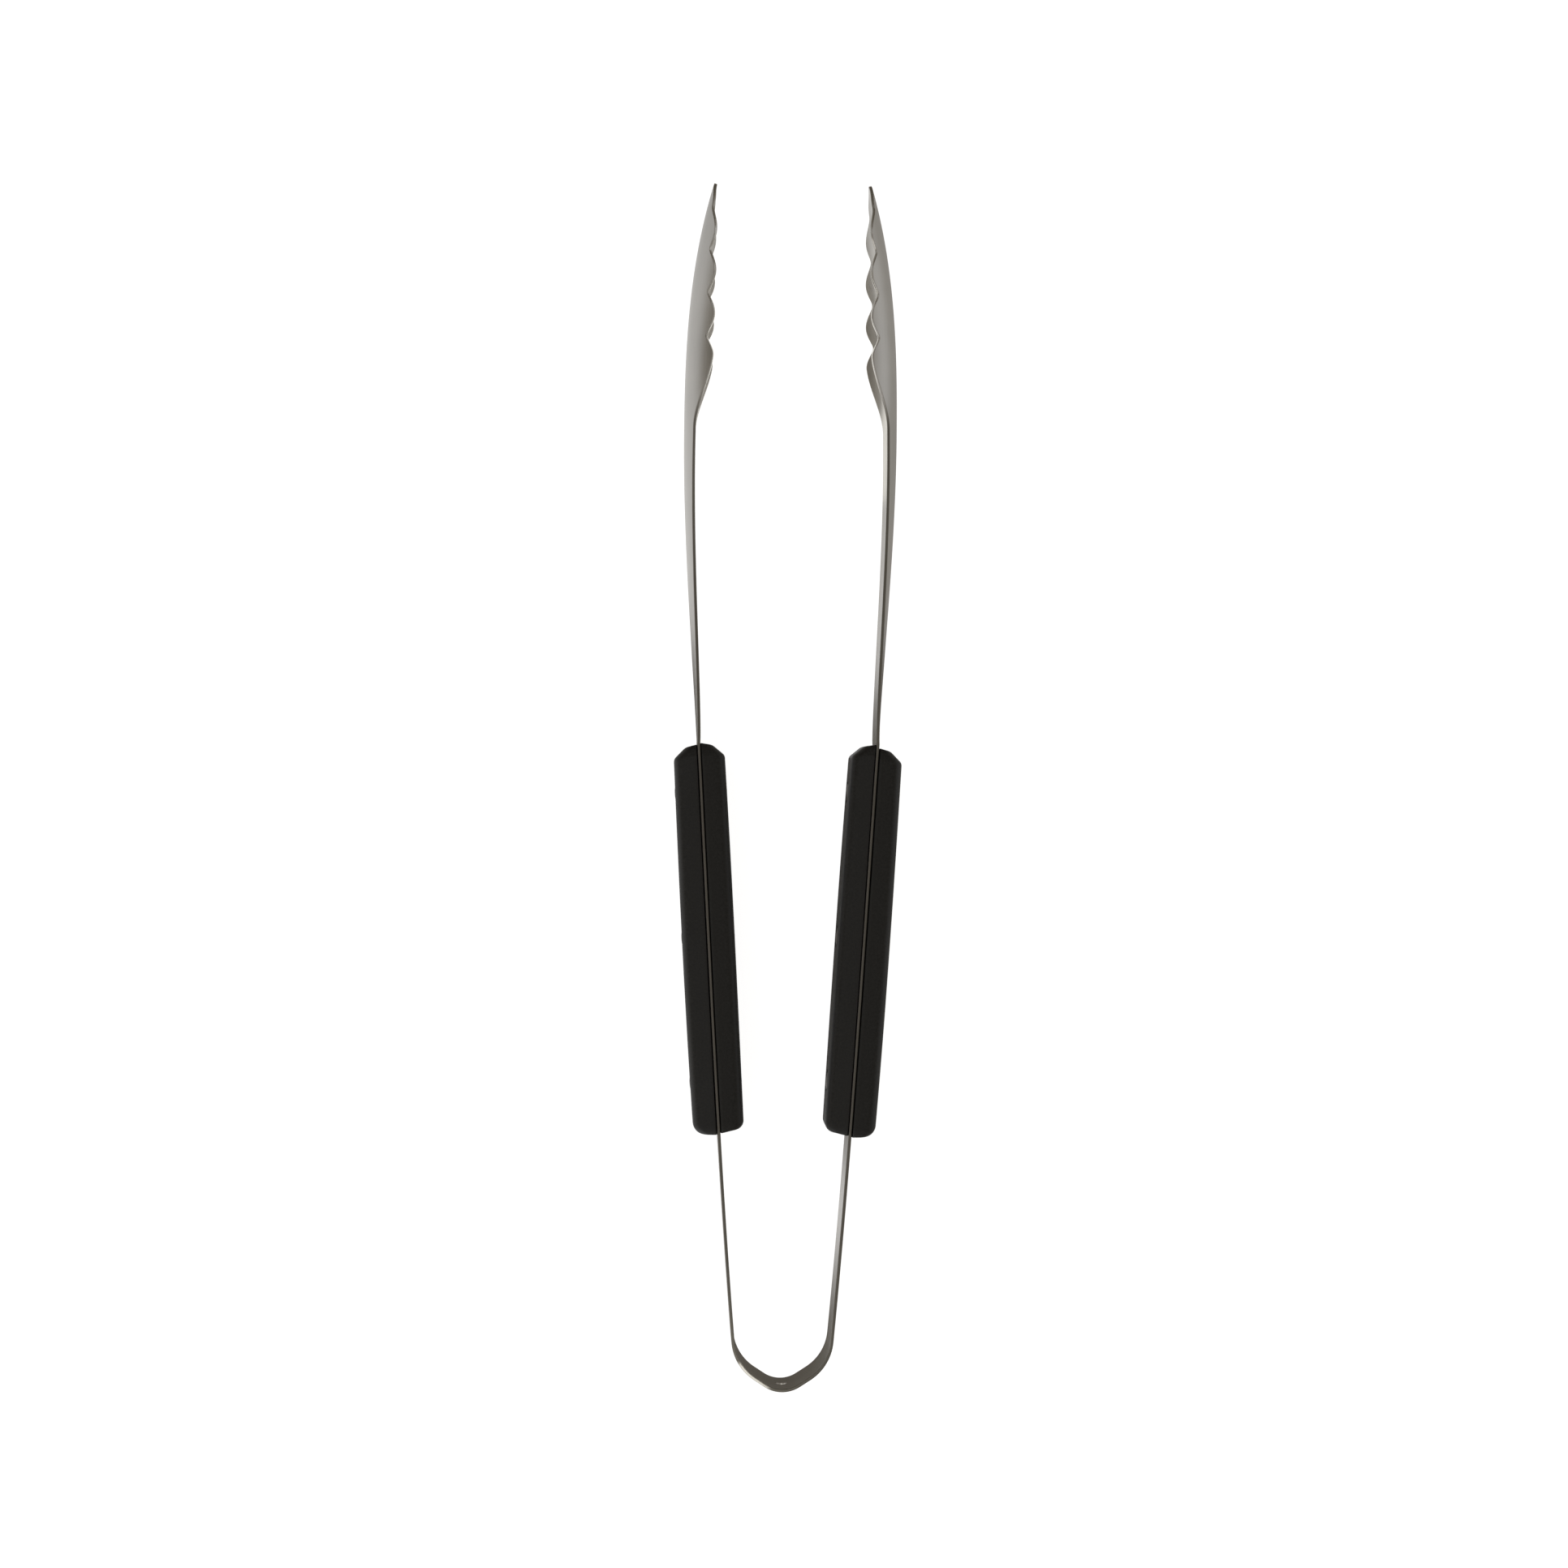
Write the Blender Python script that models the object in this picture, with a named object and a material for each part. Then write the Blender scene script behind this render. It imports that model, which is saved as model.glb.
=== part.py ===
"""Spring loaded kitchen tongs, built as an assembly of separate sub-parts.

One steel strip is bent into a U at the bow, runs up both handles between plastic scales, is crowned
along the arms and is pressed into a scalloped scoop at each jaw. The tongs lie on their side: X runs
across the two arms, Y runs from the bow to the jaws, Z runs across the strip's width. The origin is
the bottom centre of the bounding box. Sizes are in millimetres and turned into metres at the end.
"""

import math

import bmesh
import bpy
import numpy as np
from mathutils import Matrix, Vector

MM = 0.001

# Sheet and clearances
SHEET = 1.0
STRIP_WIDTH = 17.5
CONTACT_GAP = 0.3

# Bow: bottom arc, slanted flat and corner arc of each half, measured on the strip's middle line
BOW_BOTTOM_RADIUS = 9.5
BOW_BOTTOM_ANGLE = 33.0
BOW_FLAT = 3.7
BOW_CORNER_RADIUS = 14.8
LEG_SPLAY = 0.0885
HANG_HOLE_RADIUS = 1.75

# Lengths along Y, counted from the bottom of the bow; the jaw runs from the arm's widest point
TONGS_LENGTH = 366.5
HINGE_STATION = 32.0
HANDLE_START = 78.2
HANDLE_LENGTH = 117.6
JAW_LENGTH = 76.5

# Half spread of the strip's middle line at the handle's end, the shoulder and the tip, and its slopes
HANDLE_END_SPREAD = 27.1
HANDLE_END_SLOPE = 0.062
SHOULDER_SPREAD = 31.95
TIP_SPREAD = 23.5
TIP_SLOPE = -0.30

# Channel of the arm: how far its edges stand in from its crown at the shoulder
CHANNEL_DEPTH = 2.7
CHANNEL_POWER = 0.7

# Jaw: the lips lie close to one plane, and the section is an arc whose radius grows to the tip
HEEL_SETBACK = 1.0
HEEL_LENGTH = 24.0
LIP_SPREAD_HEEL = 23.7
LIP_SPREAD_TIP = 23.15
JAW_RADIUS_HEEL = 13.0
JAW_RADIUS_TIP = 16.0
NOSE_POWER = 6.0
NOSE_LENGTH = 28.0
FIRST_NOTCH_FROM_TIP = 48.0
NOTCH_PITCH = 13.15
NOTCH_COUNT = 4
NOTCH_CUT = 0.17

# Handle scales
HANDLE_THICKNESS = 16.1
HANDLE_BARREL = 0.25
SCALE_OVERHANG = 1.0
SCALE_EDGE_RADIUS = 2.8
SCALE_BOW_CORNER = 2.5
SCALE_DOME_LENGTH = 5.8
SCALE_DOME_HEIGHT = 6.6
SCALE_PLAN_ROUND = 1.2
EDGE_SHARE = 0.7

# Rivets: a stud from the outer side pressed into a socket from the inner side
RIVET_COUNT = 3
RIVET_END_MARGIN = 14.8
RIVET_HEAD_RADIUS = 3.4
RIVET_HEAD_RIM = 0.6
RIVET_SINK = 0.3
RIVET_PROUD = 0.15
SOCKET_RADIUS = 2.0
SOCKET_BORE_RADIUS = 1.4
SOCKET_FLOOR = 1.4
STUD_TIP_CLEARANCE = 0.5

# Mesh steps
BOW_ARC_STEPS = 8
BOW_CORNER_STEPS = 10
LEG_STEPS = 3
HANDLE_STEPS = 9
ARM_STEPS = 9
HEEL_STEPS = 9
NOTCH_STEPS = 6
ACROSS_STEPS = 10
ROUND_STEPS = 4
TURN_STEPS = 20
SLOPE_STEP = 0.01
FLATTEST_ARC = 0.001
WELD_DISTANCE = 1e-4
SMOOTH_ANGLE = 35.0

# Worked out from the sizes above
HANDLE_END = HANDLE_START + HANDLE_LENGTH
SHOULDER_STATION = TONGS_LENGTH - JAW_LENGTH
HEEL_START = SHOULDER_STATION + HEEL_SETBACK
FIRST_NOTCH = TONGS_LENGTH - FIRST_NOTCH_FROM_TIP
SCALE_DEPTH = STRIP_WIDTH + 2.0 * SCALE_OVERHANG
HALF_SHEET = SHEET / 2
HALF_STRIP = STRIP_WIDTH / 2
HOLE_RADIUS = SOCKET_RADIUS + CONTACT_GAP
POCKET_RADIUS = RIVET_HEAD_RADIUS + CONTACT_GAP
POCKET_DEPTH = RIVET_SINK + RIVET_HEAD_RIM + CONTACT_GAP


def clear_scene():
    """Removes whatever the scene holds."""
    for item in list(bpy.data.objects):
        bpy.data.objects.remove(item)


def make_material(name, colour, roughness, metallic):
    """A Principled BSDF material of one colour."""
    material = bpy.data.materials.new(name)
    material.use_nodes = True
    shader = material.node_tree.nodes["Principled BSDF"]
    shader.inputs["Base Color"].default_value = (*colour, 1.0)
    shader.inputs["Roughness"].default_value = roughness
    shader.inputs["Metallic"].default_value = metallic
    return material


def smoothstep(t):
    """Rises from 0 to 1 with level ends."""
    t = min(max(t, 0.0), 1.0)
    return t * t * (3.0 - 2.0 * t)


def hermite(station, start, end, spread, slope):
    """Cubic through two spreads with two slopes, between two stations."""
    length = end - start
    t = (station - start) / length
    bend = (t - 1.0) ** 2 * t * slope[0] + (t - 1.0) * t * t * slope[1]
    return spread[0] + (spread[1] - spread[0]) * t * t * (3.0 - 2.0 * t) + length * bend


def bow_corner_end():
    """Where the corner arc of the bow runs into the leg: spread, station and angle."""
    bottom = math.radians(BOW_BOTTOM_ANGLE)
    end = math.pi / 2 - math.atan(LEG_SPLAY)
    spread = BOW_BOTTOM_RADIUS * math.sin(bottom) + BOW_FLAT * math.cos(bottom)
    spread += BOW_CORNER_RADIUS * (math.sin(end) - math.sin(bottom))
    station = HALF_SHEET + BOW_BOTTOM_RADIUS * (1.0 - math.cos(bottom)) + BOW_FLAT * math.sin(bottom)
    station += BOW_CORNER_RADIUS * (math.cos(bottom) - math.cos(end))
    return spread, station, end


def strip_spread(station):
    """Half spread of the strip's middle line from the leg to the tip."""
    leg_spread, leg_station, _ = bow_corner_end()
    if station < HANDLE_END:
        spreads = (leg_spread, HANDLE_END_SPREAD)
        return hermite(station, leg_station, HANDLE_END, spreads, (LEG_SPLAY, HANDLE_END_SLOPE))
    if station < SHOULDER_STATION:
        spreads = (HANDLE_END_SPREAD, SHOULDER_SPREAD)
        return hermite(station, HANDLE_END, SHOULDER_STATION, spreads, (HANDLE_END_SLOPE, 0.0))
    spreads = (SHOULDER_SPREAD, TIP_SPREAD)
    return hermite(station, SHOULDER_STATION, TONGS_LENGTH, spreads, (0.0, TIP_SLOPE))


def strip_normal(station):
    """Unit direction in X and Y that points out of the strip's outer face."""
    rise = strip_spread(station + SLOPE_STEP) - strip_spread(station - SLOPE_STEP)
    slope = rise / (2.0 * SLOPE_STEP)
    size = math.hypot(1.0, slope)
    return 1.0 / size, -slope / size


def jaw_section(station):
    """Depth and half width of the scoop's section."""
    heel_end = HEEL_START + HEEL_LENGTH
    along = min(max((station - heel_end) / (TONGS_LENGTH - heel_end), 0.0), 1.0)
    lip = LIP_SPREAD_HEEL + (LIP_SPREAD_TIP - LIP_SPREAD_HEEL) * along
    nose = max(station - (TONGS_LENGTH - NOSE_LENGTH), 0.0) / NOSE_LENGTH
    depth = (strip_spread(station) - lip) * (1.0 - nose**NOSE_POWER)
    radius = JAW_RADIUS_HEEL + (JAW_RADIUS_TIP - JAW_RADIUS_HEEL) * along
    return depth, math.sqrt(depth * (2.0 * radius - depth))


def blade_section(station):
    """Depth and half width of the strip's arched section at a station."""
    along = min(max((station - HANDLE_END) / (SHOULDER_STATION - HANDLE_END), 0.0), 1.0)
    channel = CHANNEL_DEPTH * along**CHANNEL_POWER
    heel = smoothstep((station - HEEL_START) / HEEL_LENGTH)
    if heel == 0.0:
        return channel, HALF_STRIP
    depth, half_width = jaw_section(station)
    return channel + (depth - channel) * heel, HALF_STRIP + (half_width - HALF_STRIP) * heel


def lip_share(station):
    """Share of the section's arc that the scallops leave: 1 on a lobe, less in a notch."""
    first_lobe = FIRST_NOTCH - NOTCH_PITCH / 2
    last_lobe = first_lobe + NOTCH_COUNT * NOTCH_PITCH
    if station <= first_lobe or station >= last_lobe:
        return 1.0
    wave = abs(math.cos(math.pi * (station - first_lobe) / NOTCH_PITCH))
    return 1.0 - NOTCH_CUT * (1.0 - wave)


def blade_stations():
    """Stations of the blade's rows, closer together in the jaw and at the nose."""
    first = HINGE_STATION + CONTACT_GAP / 2
    notch_start = FIRST_NOTCH - NOTCH_PITCH / 2
    notch_end = notch_start + (NOTCH_COUNT - 1) * NOTCH_PITCH
    rows = list(np.linspace(first, HANDLE_START, LEG_STEPS, endpoint=False))
    rows += list(np.linspace(HANDLE_START, HANDLE_END, HANDLE_STEPS, endpoint=False))
    rows += list(np.linspace(HANDLE_END, HEEL_START, ARM_STEPS, endpoint=False))
    rows += list(np.linspace(HEEL_START, notch_start, HEEL_STEPS, endpoint=False))
    notch_rows = NOTCH_STEPS * (NOTCH_COUNT - 1)
    rows += list(np.linspace(notch_start, notch_end, notch_rows, endpoint=False))
    nose = TONGS_LENGTH - notch_end
    last_angles = np.linspace(0.0, math.pi / 2, 2 * NOTCH_STEPS + 1)[:-1]
    rows += [notch_end + nose * math.sin(angle) for angle in last_angles]
    return rows


def blade_surface():
    """Middle surface of the right blade: rows of points and their outward normals."""
    shares = np.linspace(-1.0, 1.0, ACROSS_STEPS + 1)
    rows = []
    for station in blade_stations():
        depth, half_width = blade_section(station)
        depth = max(depth, FLATTEST_ARC)
        radius = (half_width**2 + depth**2) / (2.0 * depth)
        reach = 2.0 * math.atan2(depth, half_width) * lip_share(station)
        x = strip_spread(station) - radius * (1.0 - np.cos(reach * shares))
        rows.append(np.stack([x, np.full_like(x, station), radius * np.sin(reach * shares)], axis=1))
    points = np.array(rows)
    along = np.gradient(points, axis=0)
    across = np.gradient(points, axis=1)
    normals = np.cross(along, across)
    normals /= np.linalg.norm(normals, axis=2, keepdims=True)
    return points, normals


def rest_frame():
    """Shift from the working axes, where Y starts at the bow, to the bottom centre of the box."""
    points, normals = blade_surface()
    skin = np.concatenate([points + normals * HALF_SHEET, points - normals * HALF_SHEET])
    half_depth = max(skin[..., 2].max(), SCALE_DEPTH / 2)
    return Vector((0.0, -skin[..., 1].max() / 2, half_depth))


def finish_object(name, bm, material, mirrored, shift):
    """Turns a bmesh in millimetres into a named object in metres, mirrored across X for a left piece."""
    if mirrored:
        bmesh.ops.scale(bm, vec=(-1.0, 1.0, 1.0), verts=bm.verts)
    bmesh.ops.translate(bm, vec=shift, verts=bm.verts)
    bmesh.ops.scale(bm, vec=(MM, MM, MM), verts=bm.verts)
    bmesh.ops.recalc_face_normals(bm, faces=bm.faces)
    mesh = bpy.data.meshes.new(name)
    bm.to_mesh(mesh)
    bm.free()
    mesh.shade_smooth()
    mesh.set_sharp_from_angle(angle=math.radians(SMOOTH_ANGLE))
    mesh.materials.append(material)
    item = bpy.data.objects.new(name, mesh)
    bpy.context.scene.collection.objects.link(item)
    return item


def grid_solid(outer, inner):
    """A closed shell between two grids of points that match row by row."""
    bm = bmesh.new()
    row_count, column_count = outer.shape[:2]
    sides = [[[bm.verts.new(p) for p in row] for row in grid] for grid in (outer, inner)]
    for r in range(row_count - 1):
        for c in range(column_count - 1):
            for side in sides:
                bm.faces.new((side[r][c], side[r + 1][c], side[r + 1][c + 1], side[r][c + 1]))
    top, bottom = sides
    last_row, last_column = row_count - 1, column_count - 1
    rim = [(0, c) for c in range(last_column)]
    rim += [(r, last_column) for r in range(last_row)]
    rim += [(last_row, c) for c in range(last_column, 0, -1)]
    rim += [(r, 0) for r in range(last_row, 0, -1)]
    for (r0, c0), (r1, c1) in zip(rim, rim[1:] + rim[:1]):
        bm.faces.new((top[r0][c0], top[r1][c1], bottom[r1][c1], bottom[r0][c0]))
    return bm


def swept_solid(rings):
    """A closed body through a list of rings with the same number of points."""
    bm = bmesh.new()
    loops = [[bm.verts.new(p) for p in ring] for ring in rings]
    count = len(loops[0])
    for first, second in zip(loops, loops[1:]):
        for k in range(count):
            n = (k + 1) % count
            bm.faces.new((first[k], first[n], second[n], second[k]))
    bm.faces.new(loops[0])
    bm.faces.new(loops[-1])
    return bm


def turned_solid(profile, place):
    """A body turned about its local Z from a list of radius and height, moved by a matrix.

    The first and last profile points lie on the axis.
    """
    bm = bmesh.new()
    verts = [bm.verts.new((radius, 0.0, height)) for radius, height in profile]
    edges = [bm.edges.new(pair) for pair in zip(verts, verts[1:])]
    bmesh.ops.spin(
        bm,
        geom=verts + edges,
        cent=(0.0, 0.0, 0.0),
        axis=(0.0, 0.0, 1.0),
        angle=2.0 * math.pi,
        steps=TURN_STEPS,
        use_duplicate=False,
    )
    bmesh.ops.remove_doubles(bm, verts=bm.verts, dist=WELD_DISTANCE)
    bmesh.ops.transform(bm, matrix=place, verts=bm.verts)
    return bm


def bow_half_path():
    """Middle line and outward normal of the bow's right half, from its bottom to the hinge."""
    bottom = math.radians(BOW_BOTTOM_ANGLE)
    _, leg_station, end = bow_corner_end()
    path = []
    for angle in np.linspace(0.0, bottom, BOW_ARC_STEPS + 1):
        x = BOW_BOTTOM_RADIUS * math.sin(angle)
        y = HALF_SHEET + BOW_BOTTOM_RADIUS * (1.0 - math.cos(angle))
        path.append((x, y, math.sin(angle), -math.cos(angle)))
    corner_x = path[-1][0] + BOW_FLAT * math.cos(bottom)
    corner_y = path[-1][1] + BOW_FLAT * math.sin(bottom)
    for angle in np.linspace(bottom, end, BOW_CORNER_STEPS + 1)[:-1]:
        x = corner_x + BOW_CORNER_RADIUS * (math.sin(angle) - math.sin(bottom))
        y = corner_y + BOW_CORNER_RADIUS * (math.cos(bottom) - math.cos(angle))
        path.append((x, y, math.sin(angle), -math.cos(angle)))
    for station in np.linspace(leg_station, HINGE_STATION - CONTACT_GAP / 2, LEG_STEPS + 1):
        path.append((strip_spread(station), station, *strip_normal(station)))
    return path


def build_spring_bow(material, shift):
    """The U-shaped spring bow with its hanging hole."""
    half = bow_half_path()
    left = [(-x, y, -nx, ny) for x, y, nx, ny in reversed(half[1:])]
    grids = {HALF_SHEET: [], -HALF_SHEET: []}
    for x, y, nx, ny in left + half:
        for offset, grid in grids.items():
            px, py = x + nx * offset, y + ny * offset
            grid.append([(px, py, -HALF_STRIP), (px, py, 0.0), (px, py, HALF_STRIP)])
    bm = grid_solid(np.array(grids[HALF_SHEET]), np.array(grids[-HALF_SHEET]))
    bow = finish_object("spring_bow", bm, material, False, shift)
    along_y = Matrix.Rotation(-math.pi / 2, 4, "X")
    below, above = -SHEET, 2.0 * SHEET
    profile = [(0.0, below), (HANG_HOLE_RADIUS, below), (HANG_HOLE_RADIUS, above), (0.0, above)]
    add_cut(bow, "hang_hole_cutter", turned_solid(profile, along_y), False, shift)


def add_cut(target, name, bm, mirrored, shift):
    """Cuts a body out of a target with a live Boolean modifier."""
    cutter = finish_object(name, bm, target.data.materials[0], mirrored, shift)
    cut_with(target, cutter)
    return cutter


def cut_with(target, cutter):
    """Adds a Boolean difference with an existing cutter and hides the cutter."""
    cutter.hide_render = True
    cutter.display_type = "WIRE"
    modifier = target.modifiers.new(cutter.name, "BOOLEAN")
    modifier.operation = "DIFFERENCE"
    modifier.solver = "EXACT"
    modifier.object = cutter


def build_blade(side, material, shift):
    """One arm with its scoop jaw, from the hinge to the tip."""
    points, normals = blade_surface()
    bm = grid_solid(points + normals * HALF_SHEET, points - normals * HALF_SHEET)
    return finish_object(f"{side}_blade", bm, material, side == "left", shift)


def handle_half_thickness(station):
    """Distance from the strip's middle to a scale's outer face, barrelled along the handle."""
    along = (2.0 * (station - HANDLE_START) / HANDLE_LENGTH) - 1.0
    return (HANDLE_THICKNESS - 2.0 * HANDLE_BARREL * along * along) / 2.0


def scale_stations():
    """Stations of a scale's rings with the outer face's drop at each end: station, drop, plan drop."""
    quarter = np.linspace(0.0, math.pi / 2, ROUND_STEPS + 2)
    rings = []
    for angle in quarter[:-1]:
        station = HANDLE_START + SCALE_BOW_CORNER * (1.0 - math.cos(angle))
        rings.append((station, SCALE_BOW_CORNER * (1.0 - math.sin(angle)), 1.0 - math.sin(angle)))
    first, last = HANDLE_START + SCALE_BOW_CORNER, HANDLE_END - SCALE_DOME_LENGTH
    rings += [(station, 0.0, 0.0) for station in np.linspace(first, last, HANDLE_STEPS)]
    for angle in quarter[1:]:
        station = last + SCALE_DOME_LENGTH * math.sin(angle)
        rings.append((station, SCALE_DOME_HEIGHT * (1.0 - math.cos(angle)), 1.0 - math.cos(angle)))
    return rings


def scale_ring(station, drop, plan_drop, facing):
    """One ring of a scale: a flat against the strip and two rounded long edges outside."""
    low = HALF_SHEET + CONTACT_GAP
    high = handle_half_thickness(station) - drop
    half_depth = SCALE_DEPTH / 2 - SCALE_PLAN_ROUND * plan_drop
    radius = min(SCALE_EDGE_RADIUS, EDGE_SHARE * (high - low))
    outline = [(low, -half_depth)]
    for angle in np.linspace(0.0, math.pi / 2, ROUND_STEPS + 1):
        out = high - radius + radius * math.sin(angle)
        outline.append((out, -half_depth + radius * (1.0 - math.cos(angle))))
    outline += [(out, -z) for out, z in reversed(outline)]
    x, (nx, ny) = strip_spread(station), strip_normal(station)
    return [(x + facing * out * nx, station + facing * out * ny, z) for out, z in outline]


def build_scale(side, layer, material, shift):
    """One plastic scale of a handle, on the strip's outer or inner face."""
    facing = 1.0 if layer == "outer" else -1.0
    rings = [scale_ring(*values, facing) for values in scale_stations()]
    return finish_object(f"{side}_{layer}_scale", swept_solid(rings), material, side == "left", shift)


def rivet_stations():
    """Stations of the rivets, spread evenly between the margins at the handle's ends."""
    return list(np.linspace(HANDLE_START + RIVET_END_MARGIN, HANDLE_END - RIVET_END_MARGIN, RIVET_COUNT))


def rivet_place(station):
    """Matrix whose local Z points out of the strip's outer face at a rivet."""
    nx, ny = strip_normal(station)
    turn = Vector((nx, ny, 0.0)).to_track_quat("Z", "X").to_matrix().to_4x4()
    return Matrix.Translation((strip_spread(station), station, 0.0)) @ turn


def head_profile(face):
    """Radius and height of a rivet's domed head above its underside, outwards from a handle face."""
    rim_top = face - RIVET_SINK
    rise = RIVET_SINK + RIVET_PROUD
    dome = [(RIVET_HEAD_RADIUS, rim_top - RIVET_HEAD_RIM), (RIVET_HEAD_RADIUS, rim_top)]
    for share in (0.75, 0.5, 0.25):
        dome.append((RIVET_HEAD_RADIUS * share, rim_top + rise * (1.0 - share * share)))
    return dome + [(0.0, rim_top + rise)]


def stud_profile(face):
    """A stud: a pin that ends inside the socket's bore, and a domed head on the outer face."""
    pin_radius = SOCKET_BORE_RADIUS - CONTACT_GAP
    pin_end = -face + SOCKET_FLOOR + STUD_TIP_CLEARANCE
    underside = face - RIVET_SINK - RIVET_HEAD_RIM
    return [(0.0, pin_end), (pin_radius, pin_end), (pin_radius, underside)] + head_profile(face)


def socket_profile(face):
    """A socket: a tube with a blind bore, and a domed head on the inner face."""
    mouth = face - RIVET_SINK - RIVET_HEAD_RIM - CONTACT_GAP
    floor = -face + SOCKET_FLOOR
    head = [(radius, -height) for radius, height in reversed(head_profile(face))]
    underside = head[-1][1]
    tube = [(SOCKET_RADIUS, underside), (SOCKET_RADIUS, mouth), (SOCKET_BORE_RADIUS, mouth)]
    return head + tube + [(SOCKET_BORE_RADIUS, floor), (0.0, floor)]


def hole_profile(face):
    """The hole for a rivet: a shank hole right through and a pocket for the head in each face."""
    beyond = face + 1.0
    pocket = face - POCKET_DEPTH
    ends = [(0.0, -beyond), (POCKET_RADIUS, -beyond), (POCKET_RADIUS, -pocket), (HOLE_RADIUS, -pocket)]
    return ends + [(radius, -height) for radius, height in reversed(ends)]


def build_handle(side, blade, steel, plastic, shift):
    """The scales and rivets of one handle, and the holes that the rivets pass through."""
    scales = [build_scale(side, layer, plastic, shift) for layer in ("outer", "inner")]
    names = ("rear", "middle", "front")
    for name, station in zip(names, rivet_stations()):
        face = handle_half_thickness(station)
        place = rivet_place(station)
        mirrored = side == "left"
        hole = turned_solid(hole_profile(face), place)
        cutter = add_cut(blade, f"{side}_{name}_rivet_cutter", hole, mirrored, shift)
        for scale in scales:
            cut_with(scale, cutter)
        stud = turned_solid(stud_profile(face), place)
        finish_object(f"{side}_{name}_rivet_stud", stud, steel, mirrored, shift)
        socket = turned_solid(socket_profile(face), place)
        finish_object(f"{side}_{name}_rivet_socket", socket, steel, mirrored, shift)


def hinge_empty(side, shift):
    """An empty on the flexing line of one leg, which the arm turns about."""
    sign = -1.0 if side == "left" else 1.0
    empty = bpy.data.objects.new(f"{side}_hinge_line", None)
    empty.location = (Vector((sign * strip_spread(HINGE_STATION), HINGE_STATION, 0.0)) + shift) * MM
    bpy.context.scene.collection.objects.link(empty)
    return empty


def hang_on(empty, side):
    """Parents every piece of an arm, and its cutters, to the arm's hinge line."""
    bpy.context.view_layer.update()
    for item in list(bpy.data.objects):
        if item is not empty and item.name.startswith(f"{side}_"):
            item.parent = empty
            item.matrix_parent_inverse = empty.matrix_world.inverted()


def main():
    """Builds the tongs."""
    clear_scene()
    steel = make_material("satin_stainless", (0.62, 0.60, 0.56), 0.34, 1.0)
    rivet_steel = make_material("rivet_stainless", (0.50, 0.49, 0.47), 0.38, 1.0)
    plastic = make_material("black_plastic", (0.018, 0.018, 0.018), 0.48, 0.0)
    shift = rest_frame()
    build_spring_bow(steel, shift)
    for side in ("left", "right"):
        blade = build_blade(side, steel, shift)
        build_handle(side, blade, rivet_steel, plastic, shift)
        hang_on(hinge_empty(side, shift), side)


main()
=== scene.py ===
"""Looks of the spring loaded kitchen tongs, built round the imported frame.

One strip of satin steel makes the bow, both arms and both scalloped scoops. Black moulded scales are
riveted to the strip, two to a handle. Every surface is worked out as whole arrays in the strip's own
axes: spread outwards from the middle, station along the tongs from the bottom of the bow, and height
from the middle plane, in millimetres. They are turned into the frame's metres as the mesh is made.
"""

import logging
import math
from dataclasses import dataclass, field
from enum import Enum

import bmesh
import bpy
import numpy as np
from mathutils import Matrix, Vector

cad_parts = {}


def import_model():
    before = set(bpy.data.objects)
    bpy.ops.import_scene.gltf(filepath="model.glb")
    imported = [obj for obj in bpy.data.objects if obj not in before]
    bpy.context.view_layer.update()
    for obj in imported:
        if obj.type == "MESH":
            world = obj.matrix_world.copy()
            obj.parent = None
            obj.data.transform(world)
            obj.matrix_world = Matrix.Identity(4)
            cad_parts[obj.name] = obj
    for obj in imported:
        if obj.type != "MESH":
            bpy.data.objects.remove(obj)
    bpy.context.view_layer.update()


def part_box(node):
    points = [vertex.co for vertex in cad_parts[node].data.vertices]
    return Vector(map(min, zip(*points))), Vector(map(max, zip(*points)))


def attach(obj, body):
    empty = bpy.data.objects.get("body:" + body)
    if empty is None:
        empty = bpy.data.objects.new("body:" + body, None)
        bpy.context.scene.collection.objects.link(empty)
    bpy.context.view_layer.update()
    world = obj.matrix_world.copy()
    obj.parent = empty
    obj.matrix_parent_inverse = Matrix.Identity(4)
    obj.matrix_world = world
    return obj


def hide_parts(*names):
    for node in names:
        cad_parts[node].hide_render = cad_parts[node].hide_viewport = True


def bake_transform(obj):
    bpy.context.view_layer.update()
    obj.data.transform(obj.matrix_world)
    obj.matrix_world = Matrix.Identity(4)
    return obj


LOG = logging.getLogger("tongs")
MM = 0.001
WELD_DISTANCE = 1e-7
STRIP_ANGLE = 38.0
MOULDED_ANGLE = 30.0
EDGE_ATTRIBUTE = "cut_edge"
UV_NAME = "surface_metres"
SLOPE_STEP = 0.01
NOISE_MIDDLE = (0.3, 0.7)
NOISE_ROUGHNESS = 0.6

Array = np.ndarray
ArrayPair = tuple[Array, Array]
Pair = tuple[float, float]
Triple = tuple[float, float, float]
Colour = Triple
Knot = Triple
Material = bpy.types.Material
Piece = bpy.types.Object
Socket = bpy.types.NodeSocket


class Labelled(Enum):
    """Options whose names appear in the frame's names."""

    @property
    def label(self) -> str:
        """The option's name as the frame spells it."""
        return self.name.lower()


class Side(Labelled):
    """The two arms, with the sign of their spread along X."""

    LEFT = -1.0
    RIGHT = 1.0


class Layer(Labelled):
    """The two scales of a handle, with the side of the strip that each one lies on."""

    OUTER = 1.0
    INNER = -1.0


class RivetPlace(Labelled):
    """The three rivets of a handle, counted from the bow."""

    REAR = 0
    MIDDLE = 1
    FRONT = 2


# --- Curves and meshes ---


def smoothstep(t: Array) -> Array:
    """Rises from 0 to 1 with level ends: t squared times (3 - 2t), with t held between 0 and 1."""
    t = np.clip(t, 0.0, 1.0)
    return t * t * (3.0 - 2.0 * t)


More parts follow.
